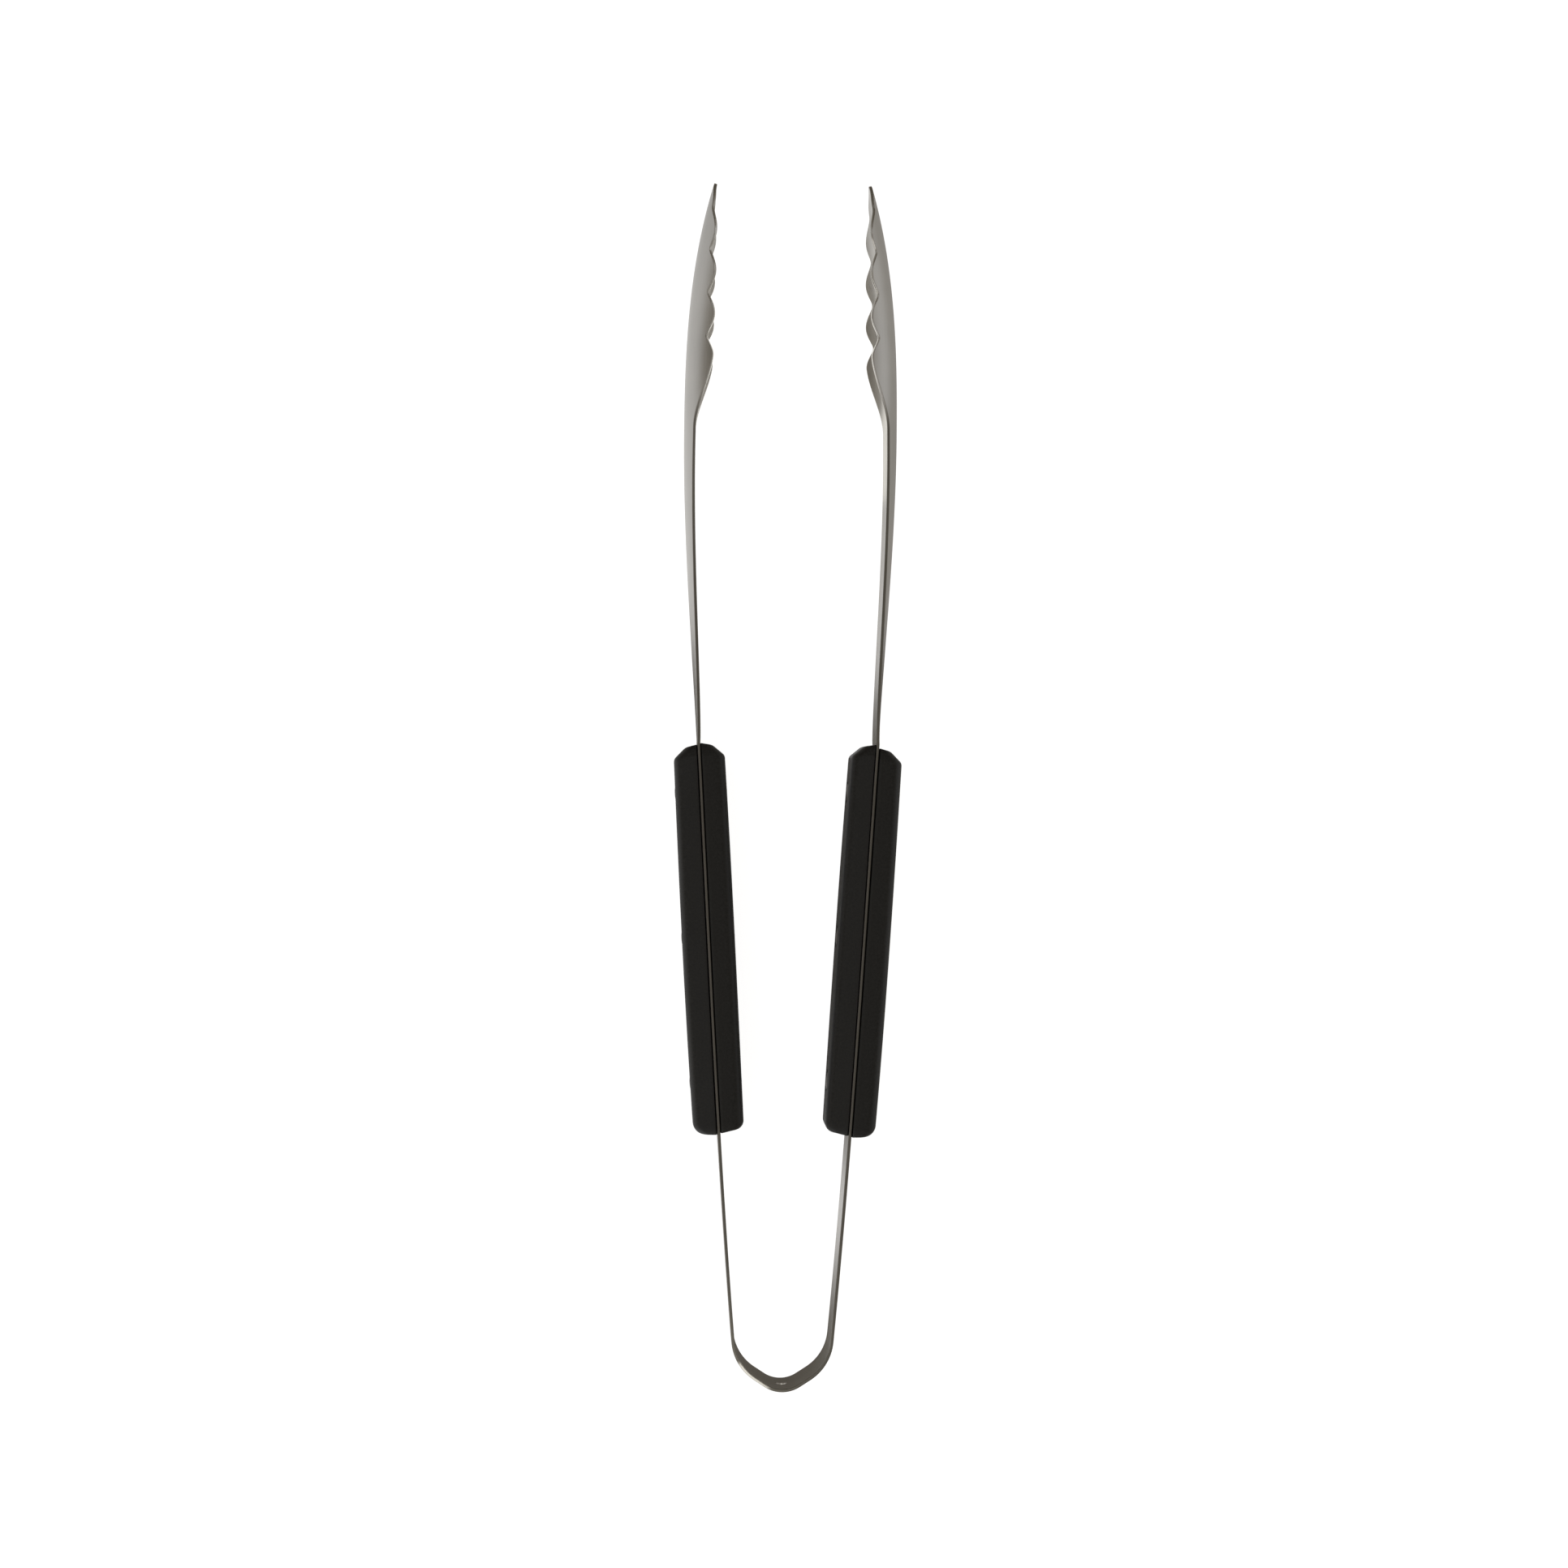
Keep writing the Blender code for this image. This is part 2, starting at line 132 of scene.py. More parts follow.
def hermite(station: Array, first: Knot, last: Knot) -> Array:
    """Cubic between two knots, each with a station, a value and a slope.

    The value eases from the first to the second as smoothstep does, plus the length times (t - 1)^2 t
    times the first slope and (t - 1) t^2 times the second.

    Args:
        station: Stations in millimetres.
        first: The knot where the cubic starts.
        last: The knot where it ends.

    Returns:
        The value at each station.
    """
    length = last[0] - first[0]
    t = (station - first[0]) / length
    bend = (t - 1.0) ** 2 * t * first[2] + (t - 1.0) * t * t * last[2]
    return first[1] + (last[1] - first[1]) * t * t * (3.0 - 2.0 * t) + length * bend


def rounded_outline(corners: Array, radii: Array, steps: int) -> Array:
    """Polygon whose inner corners are replaced by arcs.

    Each arc touches both sides: it starts and ends at radius times the tangent of half the turn from
    the corner, and its centre lies on the corner's bisector.

    Args:
        corners: Points of an open polygon, one per row.
        radii: Radius of the arc at each corner but the first and the last.
        steps: Segments of each arc.

    Returns:
        The rounded outline's points, one per row.
    """
    pieces = [corners[:1]]
    for before, corner, after, radius in zip(corners, corners[1:], corners[2:], radii):
        inward = (before - corner) / np.linalg.norm(before - corner)
        onward = (after - corner) / np.linalg.norm(after - corner)
        half_angle = math.acos(float(np.clip(inward @ onward, -1.0, 1.0))) / 2
        bisector = (inward + onward) / np.linalg.norm(inward + onward)
        centre = corner + bisector * radius / math.sin(half_angle)
        first = corner + inward * radius / math.tan(half_angle) - centre
        last = corner + onward * radius / math.tan(half_angle) - centre
        turn = math.pi - 2.0 * half_angle
        t = np.linspace(0.0, 1.0, steps + 1)[:, None]
        arc = (np.sin((1.0 - t) * turn) * first + np.sin(t * turn) * last) / math.sin(turn)
        pieces.append(centre + arc)
    pieces.append(corners[-1:])
    return np.concatenate(pieces)


@dataclass(frozen=True)
class Stand:
    """Where the strip's own axes lie in the frame, read from the bow's box."""

    bow_bottom: float  # Y of station 0, in metres
    middle_height: float  # Z of the middle plane, in metres

    @classmethod
    def from_frame(cls) -> "Stand":
        """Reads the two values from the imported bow."""
        low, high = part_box("spring_bow")
        return cls(low.y, (low.z + high.z) / 2)

    def place(self, points: Array, side: Side = Side.RIGHT) -> Array:
        """Turns spread, station and height in millimetres into X, Y and Z of the frame in metres."""
        scale = np.array([side.value, 1.0, 1.0]) * MM
        return points * scale + np.array([0.0, self.bow_bottom, self.middle_height])

    def spot(self, spread: float, station: float) -> Triple:
        """One point of the middle plane in the frame, from a signed spread and a station."""
        return spread * MM, self.bow_bottom + station * MM, self.middle_height


@dataclass
class Surface:
    """Grids and end fans that are welded into one closed mesh."""

    smooth_angle: float = STRIP_ANGLE  # edges that turn further than this many degrees stay sharp
    points: list[Array] = field(default_factory=list)  # points of each part, in metres
    # for each part, a map place in metres and a share of cut edge for every point
    marks: list[Array] = field(default_factory=list)
    # faces of each part, counted within the whole mesh
    faces: list[list[int]] = field(default_factory=list)
    count: int = 0  # points so far

    def add_points(self, points: Array, marks: Array) -> Array:
        """Adds loose points.

        Args:
            points: Points in metres, with the three values last.
            marks: Map place and edge share of each point, last.

        Returns:
            Their numbers in the mesh, in the shape of the input.
        """
        shape = points.shape[:-1]
        numbers = self.count + np.arange(int(np.prod(shape))).reshape(shape)
        self.points.append(points.reshape(-1, 3))
        self.marks.append(np.broadcast_to(marks, shape + (3,)).reshape(-1, 3))
        self.count += numbers.size
        return numbers

    def add_grid(self, points: Array, marks: Array, closed: bool, capped: bool) -> None:
        """Adds a grid of quads.

        Args:
            points: Rows and columns of points in metres.
            marks: Map place and edge share of each point.
            closed: Whether the last column joins the first.
            capped: Whether the first and last row are closed with fans.
        """
        numbers = self.add_points(points, marks)
        ring = np.concatenate([numbers, numbers[:, :1]], axis=1) if closed else numbers
        quads = np.stack([ring[:-1, :-1], ring[1:, :-1], ring[1:, 1:], ring[:-1, 1:]], axis=-1)
        self.faces += quads.reshape(-1, 4).tolist()
        for row in (0, -1) if capped else ():
            self.add_cap(numbers[row], points[row], marks[row])

    def add_cap(self, numbers: Array, points: Array, marks: Array) -> None:
        """Closes a loop of points with triangles to its middle.

        Args:
            numbers: Numbers of the loop's points, in order.
            points: The loop's points in metres.
            marks: Map place and edge share of the loop's points.
        """
        hub = self.add_points(points.mean(axis=0)[None], marks.mean(axis=0)[None])[0]
        rim = np.stack([numbers, np.roll(numbers, -1), np.full_like(numbers, hub)], axis=-1)
        self.faces += rim.tolist()

    def build(self, name: str, finish: Material | None = None) -> Piece:
        """Welds the parts, turns every face outwards and makes the object at the origin.

        Args:
            name: The object's name.
            finish: Its material, if it stays in the scene.

        Returns:
            The finished object.
        """
        mesh = bpy.data.meshes.new(name)
        mesh.from_pydata(np.concatenate(self.points).tolist(), [], self.faces)
        marks = np.concatenate(self.marks)
        corners = np.zeros(len(mesh.loops), int)
        mesh.loops.foreach_get("vertex_index", corners)
        uv = mesh.uv_layers.new(name=UV_NAME)
        uv.data.foreach_set("uv", marks[corners, :2].astype(np.float32).ravel())
        edge = mesh.attributes.new(EDGE_ATTRIBUTE, "FLOAT", "POINT")
        edge.data.foreach_set("value", marks[:, 2].astype(np.float32))
        bm = bmesh.new()
        bm.from_mesh(mesh)
        bmesh.ops.remove_doubles(bm, verts=bm.verts, dist=WELD_DISTANCE)
        bmesh.ops.recalc_face_normals(bm, faces=bm.faces)
        bm.to_mesh(mesh)
        bm.free()
        mesh.shade_smooth()
        mesh.set_sharp_from_angle(angle=math.radians(self.smooth_angle))
        if finish is not None:
            mesh.materials.append(finish)
        return show(name, mesh)


def show(name: str, data: bpy.types.ID) -> Piece:
    """Makes an object at the origin and links it to the scene.

    Args:
        name: The object's name.
        data: Its mesh or camera.

    Returns:
        The object.
    """
    item = bpy.data.objects.new(name, data)
    bpy.context.scene.collection.objects.link(item)
    return item


def flat_piece(name: str, sides: Array, material: Material) -> Piece:
    """Makes a flat four-sided piece.

    Args:
        name: The object's name.
        sides: A corner, the side to the second corner and the side to the fourth, in metres.
        material: The piece's material.

    Returns:
        The piece.
    """
    corner, along, across = sides
    outline = np.stack([corner, corner + along, corner + along + across, corner + across])
    mesh = bpy.data.meshes.new(name)
    mesh.from_pydata(outline.tolist(), [], [(0, 1, 2, 3)])
    mesh.materials.append(material)
    return show(name, mesh)


def cut_holes(item: Piece, cutters: list[Piece], smooth_angle: float) -> None:
    """Cuts closed bodies out of a piece and leaves it as a plain mesh.

    Args:
        item: The piece that is cut.
        cutters: Bodies to take away, which are left in the scene.
        smooth_angle: Edges that turn further than this many degrees stay sharp.
    """
    for cutter in cutters:
        modifier = item.modifiers.new(cutter.name, "BOOLEAN")
        modifier.operation = "DIFFERENCE"
        modifier.solver = "EXACT"
        modifier.object = cutter
    graph = bpy.context.evaluated_depsgraph_get()
    cut = bpy.data.meshes.new_from_object(item.evaluated_get(graph))
    item.modifiers.clear()
    item.data = cut
    cut.name = item.name
    cut.set_sharp_from_angle(angle=math.radians(smooth_angle))


# --- Finishes ---


class NodeGraph:
    """Short way to add and join the nodes of one material or world."""

    def __init__(self, tree: bpy.types.NodeTree) -> None:
        """Empties the tree and keeps it."""
        self.tree = tree
        tree.nodes.clear()

    def add(self, kind: str, inputs: dict | None = None, **settings: object) -> bpy.types.Node:
        """Adds a node.

        Args:
            kind: The node's type without the ShaderNode in front.
            inputs: Values or sockets for its inputs, by name or number.
            settings: Values for the node's own properties.

        Returns:
            The node.
        """
        node = self.tree.nodes.new("ShaderNode" + kind)
        for key, value in settings.items():
            setattr(node, key, value)
        for key, value in (inputs or {}).items():
            if isinstance(value, Socket):
                self.tree.links.new(value, node.inputs[key])
            else:
                node.inputs[key].default_value = value
        return node

    def finish(
        self, inputs: dict, height: Socket | None = None, strength: float = 0.0, depth: float = 0.0
    ) -> None:
        """Ends the graph in a principled shader.

        Args:
            inputs: The shader's inputs.
            height: Height of the marks in its surface, if it has any.
            strength: Share of that height that shows.
            depth: Height of the highest marks in metres.
        """
        if height is not None:
            relief = {"Height": height, "Strength": strength, "Distance": depth}
            inputs["Normal"] = self.add("Bump", relief).outputs["Normal"]
        shader = self.add("BsdfPrincipled", inputs)
        self.add("OutputMaterial", {"Surface": shader.outputs["BSDF"]})

    def math(self, operation: str, first: object, second: object) -> Socket:
        """One sum of two values or sockets."""
        return self.add("Math", {0: first, 1: second}, operation=operation).outputs[0]

    def spread(self, socket: object, low: float, high: float) -> Socket:
        """Maps the range in which most of a noise lies to the range from low to high."""
        limits = dict(zip(("From Min", "From Max", "To Min", "To Max"), (*NOISE_MIDDLE, low, high)))
        return self.add("MapRange", {"Value": socket, **limits}).outputs["Result"]

    def noise(self, vector: object, scale: float, detail: float) -> Socket:
        """Noise value at a place, with a number of features to the metre."""
        inputs = {"Vector": vector, "Scale": scale, "Detail": detail, "Roughness": NOISE_ROUGHNESS}
        return self.add("TexNoise", inputs).outputs["Fac"]

    def scaled(self, vector: object, scale: Triple) -> Socket:
        """Stretches places along the three axes."""
        return self.add("Mapping", {"Vector": vector, "Scale": scale}).outputs["Vector"]

    def tinted(self, colour: object, tone: object) -> Socket:
        """Multiplies a colour by a tone."""
        inputs = {0: colour, "Scale": tone}
        return self.add("VectorMath", inputs, operation="SCALE").outputs["Vector"]

    def blended(self, first: object, second: object, share: object) -> Socket:
        """Goes from one colour to another as the share goes from 0 to 1.

        Args:
            first: Colour or socket at share 0.
            second: Colour or socket at share 1.
            share: Number or socket with the share.

        Returns:
            Socket with the colour between them.
        """
        node = self.add("Mix", {"Factor": share}, data_type="RGBA")
        for socket, value in zip(node.inputs[6:8], (first, second)):
            if isinstance(value, Socket):
                self.tree.links.new(value, socket)
            else:
                socket.default_value = (*value, 1.0)
        return node.outputs[2]


def new_material(name: str) -> tuple[Material, NodeGraph]:
    """Makes a material.

    Args:
        name: Its name.

    Returns:
        The material and the graph of its nodes.
    """
    material = bpy.data.materials.new(name)
    material.use_nodes = True
    return material, NodeGraph(material.node_tree)


@dataclass(frozen=True)
class SatinSteel:
    """Stainless sheet, brushed along the strip, with darker and coarser cut edges."""

    name: str = "brushed_satin_steel"  # the material's name
    face: Colour = (0.66, 0.64, 0.605)  # colour of the brushed faces
    edge: Colour = (0.27, 0.255, 0.225)  # colour of the cut edges
    roughness: float = 0.36  # roughness of the faces
    edge_roughness: float = 0.13  # what the cut edges add to it, and what the polished lips and the bow's painted glint take off it
    brush_along: float = 90.0  # brush marks to the metre along the strip
    brush_across: float = 4200.0  # brush marks to the metre across it
    cloud_scale: float = 55.0  # soft changes of tone to the metre
    grain_scale: float = 2400.0  # fine pits to the metre
    mark_tone: Pair = (0.95, 1.05)  # darkest and lightest tone of the marks and of the clouds
    mark_rough: float = 0.05  # how far the marks change the roughness
    cloud_rough: float = 0.02  # how far the clouds change it
    pit_share: float = 0.6  # depth of the pits as a share of the marks' height
    relief: float = 0.00002  # height of the marks in metres
    relief_strength: float = 0.22  # share of that height that shows

    def build(self) -> Material:
        """Makes the material.

        Brush marks are noise on the strip's own map, stretched along it. Clouds and pits are noise on
        Object coordinates. Marks and clouds change tone and roughness, marks and pits make the relief.

        Returns:
            The material.
        """
        material, graph = new_material(self.name)
        places = graph.add("TexCoord")
        own_map = graph.scaled(places.outputs["UV"], (self.brush_along, self.brush_across, 1.0))
        marks = graph.noise(own_map, 1.0, 3.0)
        clouds = graph.noise(places.outputs["Object"], self.cloud_scale, 2.0)
        pits = graph.noise(places.outputs["Object"], self.grain_scale, 1.0)
        edge = graph.add("Attribute", attribute_name=EDGE_ATTRIBUTE).outputs["Fac"]
        tones = [graph.spread(noise, *self.mark_tone) for noise in (clouds, marks)]
        tone = graph.math("MULTIPLY", *tones)
        # A negative edge share gives the faces' colour: the bow's painted glint and the lips' painted
        # highlight.
        dull = graph.math("MAXIMUM", edge, 0.0)
        colour = graph.tinted(graph.blended(self.face, self.edge, dull), tone)
        rough = graph.spread(marks, self.roughness - self.mark_rough, self.roughness + self.mark_rough)
        rough = graph.math("ADD", rough, graph.spread(clouds, -self.cloud_rough, self.cloud_rough))
        rough = graph.math("ADD", rough, graph.math("MULTIPLY", edge, self.edge_roughness))
        height = graph.math("ADD", marks, graph.math("MULTIPLY", pits, self.pit_share))
        inputs = {"Base Color": colour, "Roughness": rough, "Metallic": 1.0}
        graph.finish(inputs, height, self.relief_strength, self.relief)
        return material


@dataclass(frozen=True)
class RivetSteel:
    """Turned rivet steel, a little darker than the strip, with fine rings round its axis."""

    name: str = "turned_rivet_steel"  # the material's name
    colour: Colour = (0.30, 0.29, 0.275)  # colour of the metal
    roughness: float = 0.42  # its roughness
    turn_scale: float = 60.0  # breaks of the rings to the metre of map round the axis
    ring_scale: float = 6500.0  # turning rings to the metre of radius
    cloud_scale: float = 700.0  # soft changes of tone to the metre
    cloud_tone: Pair = (0.85, 1.1)  # darkest and lightest tone of the clouds
    ring_tone: Pair = (0.93, 1.05)  # darkest and lightest tone of the rings
    ring_rough: Pair = (-0.06, 0.08)  # least and most that the rings add to the roughness
    relief: float = 0.000015  # height of the rings in metres
    relief_strength: float = 0.3  # share of that height that shows

    def build(self) -> Material:
        """Makes the material: rings are noise on the distance from the axis, clouds on Object places.

        Returns:
            The material.
        """
        material, graph = new_material(self.name)
        places = graph.add("TexCoord")
        own_map = graph.scaled(places.outputs["UV"], (self.turn_scale, self.ring_scale, 1.0))
        rings = graph.noise(own_map, 1.0, 2.0)
        clouds = graph.noise(places.outputs["Object"], self.cloud_scale, 2.0)
        cloud_tone = graph.spread(clouds, *self.cloud_tone)
        tone = graph.math("MULTIPLY", cloud_tone, graph.spread(rings, *self.ring_tone))
        colour = graph.tinted(self.colour, tone)
        rough = graph.spread(rings, *(self.roughness + change for change in self.ring_rough))
        inputs = {"Base Color": colour, "Roughness": rough, "Metallic": 1.0}
        graph.finish(inputs, rings, self.relief_strength, self.relief)
        return material


@dataclass(frozen=True)
class SatinPlastic:
    """Black moulded plastic with a fine satin speckle."""

    name: str = "black_satin_plastic"  # the material's name
    dark: Colour = (0.0095, 0.0092, 0.0085)  # colour between the specks
    light: Colour = (0.0265, 0.0256, 0.0238)  # colour of the specks
    roughness: float = 0.46  # its roughness
    specular: float = 0.5  # specular level of the plastic
    speckle_scale: float = 1500.0  # specks to the metre
    speckle_rough: Pair = (-0.06, 0.08)  # least and most that the specks add to the roughness
    patch_scale: float = 38.0  # patches rubbed smoother by the hand, to the metre
    patch_rough: float = 0.04  # how far the patches change the roughness
    relief: float = 0.00003  # height of the moulded grain in metres
    relief_strength: float = 0.3  # share of that height that shows

    def build(self) -> Material:
        """Makes the material: specks and patches are noise on Object coordinates.

        Returns:
            The material.
        """
        material, graph = new_material(self.name)
        places = graph.add("TexCoord").outputs["Object"]
        specks = graph.noise(places, self.speckle_scale, 3.0)
        patches = graph.noise(places, self.patch_scale, 2.0)
        colour = graph.blended(self.dark, self.light, graph.spread(specks, 0.0, 1.0))
        rough = graph.spread(specks, *(self.roughness + change for change in self.speckle_rough))
        rough = graph.math("ADD", rough, graph.spread(patches, -self.patch_rough, self.patch_rough))
        inputs = {"Base Color": colour, "Roughness": rough, "Specular IOR Level": self.specular}
        graph.finish(inputs, specks, self.relief_strength, self.relief)
        return material


# --- The steel strip ---


@dataclass(frozen=True)
class CutEdge:
    """The sheet's cut edge, deburred on both sides."""

    radius: float = 0.24  # radius of the deburred corners
    hold: float = 0.12  # how far inside the corner a row of points keeps the faces flat
    steps: int = 4  # segments of each corner

    def columns(self, half_sheet: float) -> ArrayPair:
        """Inset and offset of the edge's columns, from the outer face round to the inner one.

        Each corner is a quarter circle: its inset falls as 1 - sine and its drop grows as 1 - cosine.

        Args:
            half_sheet: Half the sheet's thickness.

        Returns:
            Distance inside the edge and distance from the sheet's middle, one value per column.
        """
        turn = np.linspace(0.0, math.pi / 2, self.steps + 1)
        inset = self.radius * (1.0 - np.sin(turn))
        offset = half_sheet - self.radius * (1.0 - np.cos(turn))
        flat = np.array([self.radius + self.hold])
        insets = np.concatenate([flat, inset, inset[::-1], flat])
        offsets = np.concatenate([[half_sheet], offset, -offset[::-1], [-half_sheet]])
        return insets, offsets

    def share(self, inset: Array) -> Array:
        """How much of the cut edge's finish a column has: 1 at the edge and 0 on the faces."""
        return np.clip(1.0 - inset / self.radius, 0.0, 1.0)


@dataclass(frozen=True)
class Strip:
    """Shape of the steel strip, in millimetres."""

    sheet: float = 1.0  # thickness of the steel
    width: float = 17.5  # width of the strip
    bottom_radius: float = 9.5  # radius of the bow's bottom arc
    bottom_angle: float = 33.0  # angle of that arc, in degrees
    bow_flat: float = 3.7  # length of the slanted flat after it
    corner_radius: float = 14.8  # radius of the bow's corner arcs
    splay: float = 0.0885  # slope of the legs
    hole_radius: float = 1.75  # radius of the hanging hole
    hinge_station: float = 32.0  # station where the legs flex
    handle_start: float = 78.2  # station where the handle starts
    handle_end: float = 195.8  # station where it ends
    shoulder: float = 290.0  # station where the arms stand widest
    length: float = 366.42  # station of the tip
    handle_end_spread: float = 27.1  # spread at the handle's end
    handle_end_slope: float = 0.062  # slope there
    shoulder_spread: float = 31.95  # spread at the shoulder
    tip_spread: float = 23.5  # spread at the tip
    tip_slope: float = -0.30  # slope there
    channel_depth: float = 2.7  # depth of the arm's channel at the shoulder
    channel_power: float = 0.7  # how late the channel deepens: 1 for evenly, less for early
    heel_start: float = 291.0  # station where the scoop begins
    heel_length: float = 24.0  # length over which it forms
    lip_heel: float = 23.7  # spread of the lips' plane at the heel
    lip_tip: float = 23.15  # spread of that plane at the tip
    radius_heel: float = 13.0  # radius of the scoop's section at the heel
    radius_tip: float = 16.0  # radius of the section at the tip
    nose_power: float = 6.0  # how blunt the nose is
    nose_length: float = 28.0  # length over which the nose closes
    first_notch: float = 318.5  # station of the first notch
    notch_pitch: float = 13.15  # distance from notch to notch
    notch_count: int = 4  # number of notches in each lip
    notch_cut: float = 0.17  # share of the section's arc that a notch takes
    notch_round: float = 0.22  # how round the bottom of a notch is, 0 for a sharp one
    seam: float = 16.5  # station where the bow's mesh meets the arms' meshes
    flattest: float = 1e-5  # least depth of a section, so that its radius stays finite

    @property
    def half_sheet(self) -> float:
        """Half the steel's thickness."""
        return self.sheet / 2

    @property
    def half_width(self) -> float:
        """Half the strip's width."""
        return self.width / 2

    @property
    def first_lobe(self) -> float:
        """Station where the scallops begin, half a pitch before the first notch."""
        return self.first_notch - self.notch_pitch / 2

    def corner_end(self) -> Triple:
        """Where the bow's corner arc runs into the leg.

        Returns:
            Spread and station of that point, and the angle there.
        """
        bottom = math.radians(self.bottom_angle)
        end = math.pi / 2 - math.atan(self.splay)
        spread = self.bottom_radius * math.sin(bottom) + self.bow_flat * math.cos(bottom)
        spread += self.corner_radius * (math.sin(end) - math.sin(bottom))
        station = self.half_sheet + self.bottom_radius * (1.0 - math.cos(bottom))
        station += self.bow_flat * math.sin(bottom)
        station += self.corner_radius * (math.cos(bottom) - math.cos(end))
        return spread, station, end

    def bow_lengths(self) -> Triple:
        """The ends of the bow's three stretches.

        Returns:
            Distance along the strip from the bow's bottom to the end of arc, flat and corner.
        """
        bottom = math.radians(self.bottom_angle)
        arc = self.bottom_radius * bottom
        flat = arc + self.bow_flat
        return arc, flat, flat + self.corner_radius * (self.corner_end()[2] - bottom)

    def seam_distance(self) -> float:
        """Distance along the strip from the bow's bottom to the seam."""
        leg = self.seam - self.corner_end()[1]
        return self.bow_lengths()[2] + leg * math.hypot(1.0, self.splay)

    def spread(self, station: Array) -> Array:
        """Half spread of the strip's middle line: three cubics, to the handle's end, shoulder and tip.

        Args:
            station: Stations in millimetres.

        Returns:
            The half spread at each station.
        """
        leg_spread, leg_station, _ = self.corner_end()
        knots = (
            (leg_station, leg_spread, self.splay),
            (self.handle_end, self.handle_end_spread, self.handle_end_slope),
            (self.shoulder, self.shoulder_spread, 0.0),
            (self.length, self.tip_spread, self.tip_slope),
        )
        legs, arms, jaws = (hermite(station, *pair) for pair in zip(knots, knots[1:]))
        return np.where(station < self.handle_end, legs, np.where(station < self.shoulder, arms, jaws))

    def normal(self, station: Array) -> ArrayPair:
        """Unit direction that points out of the strip's outer face at its middle line.

        Args:
            station: Stations in millimetres.

        Returns:
            Its parts along the spread and along the station.
        """
        rise = self.spread(station + SLOPE_STEP) - self.spread(station - SLOPE_STEP)
        slope = rise / (2.0 * SLOPE_STEP)
        size = np.hypot(1.0, slope)
        return 1.0 / size, -slope / size

    def section(self, station: Array) -> ArrayPair:
        """Radius of the strip's arched section and the angle from its crown to its plain edge.

        Along the arm the depth grows as a power of the way to the shoulder. In the scoop the depth is
        the distance from the crown to the lips' plane, which the nose brings to nothing, and a depth D
        and half width W belong to the radius (W^2 + D^2) / 2D. The heel eases from one to the other.

        Args:
            station: Stations in millimetres.

        Returns:
            Radius and angle at each station.
        """
        heel_end = self.heel_start + self.heel_length
        along = np.clip((station - heel_end) / (self.length - heel_end), 0.0, 1.0)
        lip = self.lip_heel + (self.lip_tip - self.lip_heel) * along
        nose = np.clip((station - self.length + self.nose_length) / self.nose_length, 0.0, 1.0)
        jaw_depth = (self.spread(station) - lip) * (1.0 - nose**self.nose_power)
        jaw_depth = np.maximum(jaw_depth, self.flattest)
        jaw_radius = self.radius_heel + (self.radius_tip - self.radius_heel) * along
        jaw_half = np.sqrt(jaw_depth * (2.0 * jaw_radius - jaw_depth))
        way = np.clip((station - self.handle_end) / (self.shoulder - self.handle_end), 0.0, 1.0)
        channel = np.maximum(self.channel_depth * way**self.channel_power, self.flattest)
        heel = smoothstep((station - self.heel_start) / self.heel_length)
        depth = channel + (jaw_depth - channel) * heel
        half = self.half_width + (jaw_half - self.half_width) * heel
        radius = np.where(heel >= 1.0, jaw_radius, (half**2 + depth**2) / (2.0 * depth))
        return radius, 2.0 * np.arctan2(depth, half)

    def scallop(self, station: Array) -> Array:
        """Share of the section's arc that the scallops leave: 1 on a lobe, less in a notch.

        The loss follows 1 minus the size of a cosine with one half wave to the pitch, which makes round
        lobes between narrow notches. The size is hypot(cosine, e) - e, scaled back to 1 on the lobes,
        where e rounds the bottom of the notches.

        Args:
            station: Stations in millimetres.

        Returns:
            The share at each station.
        """
        last_lobe = self.first_lobe + self.notch_count * self.notch_pitch
        cosine = np.cos(math.pi * (station - self.first_lobe) / self.notch_pitch)
        soft = self.notch_round
        wave = (np.hypot(cosine, soft) - soft) / (math.hypot(1.0, soft) - soft)
        inside = (station > self.first_lobe) & (station < last_lobe)
        return np.where(inside, 1.0 - self.notch_cut * (1.0 - wave), 1.0)

    def middle(self, station: Array, angle: Array) -> Array:
        """Points of the strip's middle surface.

        Args:
            station: Station of each point.
            angle: Angle round the section from its crown.

        Returns:
            Spread, station and height, last.
        """
        radius, _ = self.section(station)
        spread = self.spread(station) - 2.0 * radius * np.sin(angle / 2) ** 2
        return np.stack([spread, station, radius * np.sin(angle)], axis=-1)

    def skin(self, station: Array, across: Array, offset: Array) -> Array:
        """Points on or beside the strip's middle surface.

        A point at the distance s round an arc of radius R stands R (1 - cos(s / R)) in from the crown
        and R sin(s / R) from the middle plane. It is then moved along the surface's normal, which is
        the cross product of the surface's two directions at that point.

        Args:
            station: Station of each point.
            across: Distance round the section from its crown.
            offset: Distance out of the middle surface.

        Returns:
            Spread, station and height, last.
        """
        radius, _ = self.section(station)
        angle = across / radius
        along = self.middle(station + SLOPE_STEP, angle) - self.middle(station - SLOPE_STEP, angle)
        round_it = np.stack([-np.sin(angle), np.zeros_like(angle), np.cos(angle)], axis=-1)
        normal = np.cross(along, round_it)
        normal /= np.linalg.norm(normal, axis=-1, keepdims=True)
        return self.middle(station, angle) + normal * offset[..., None]

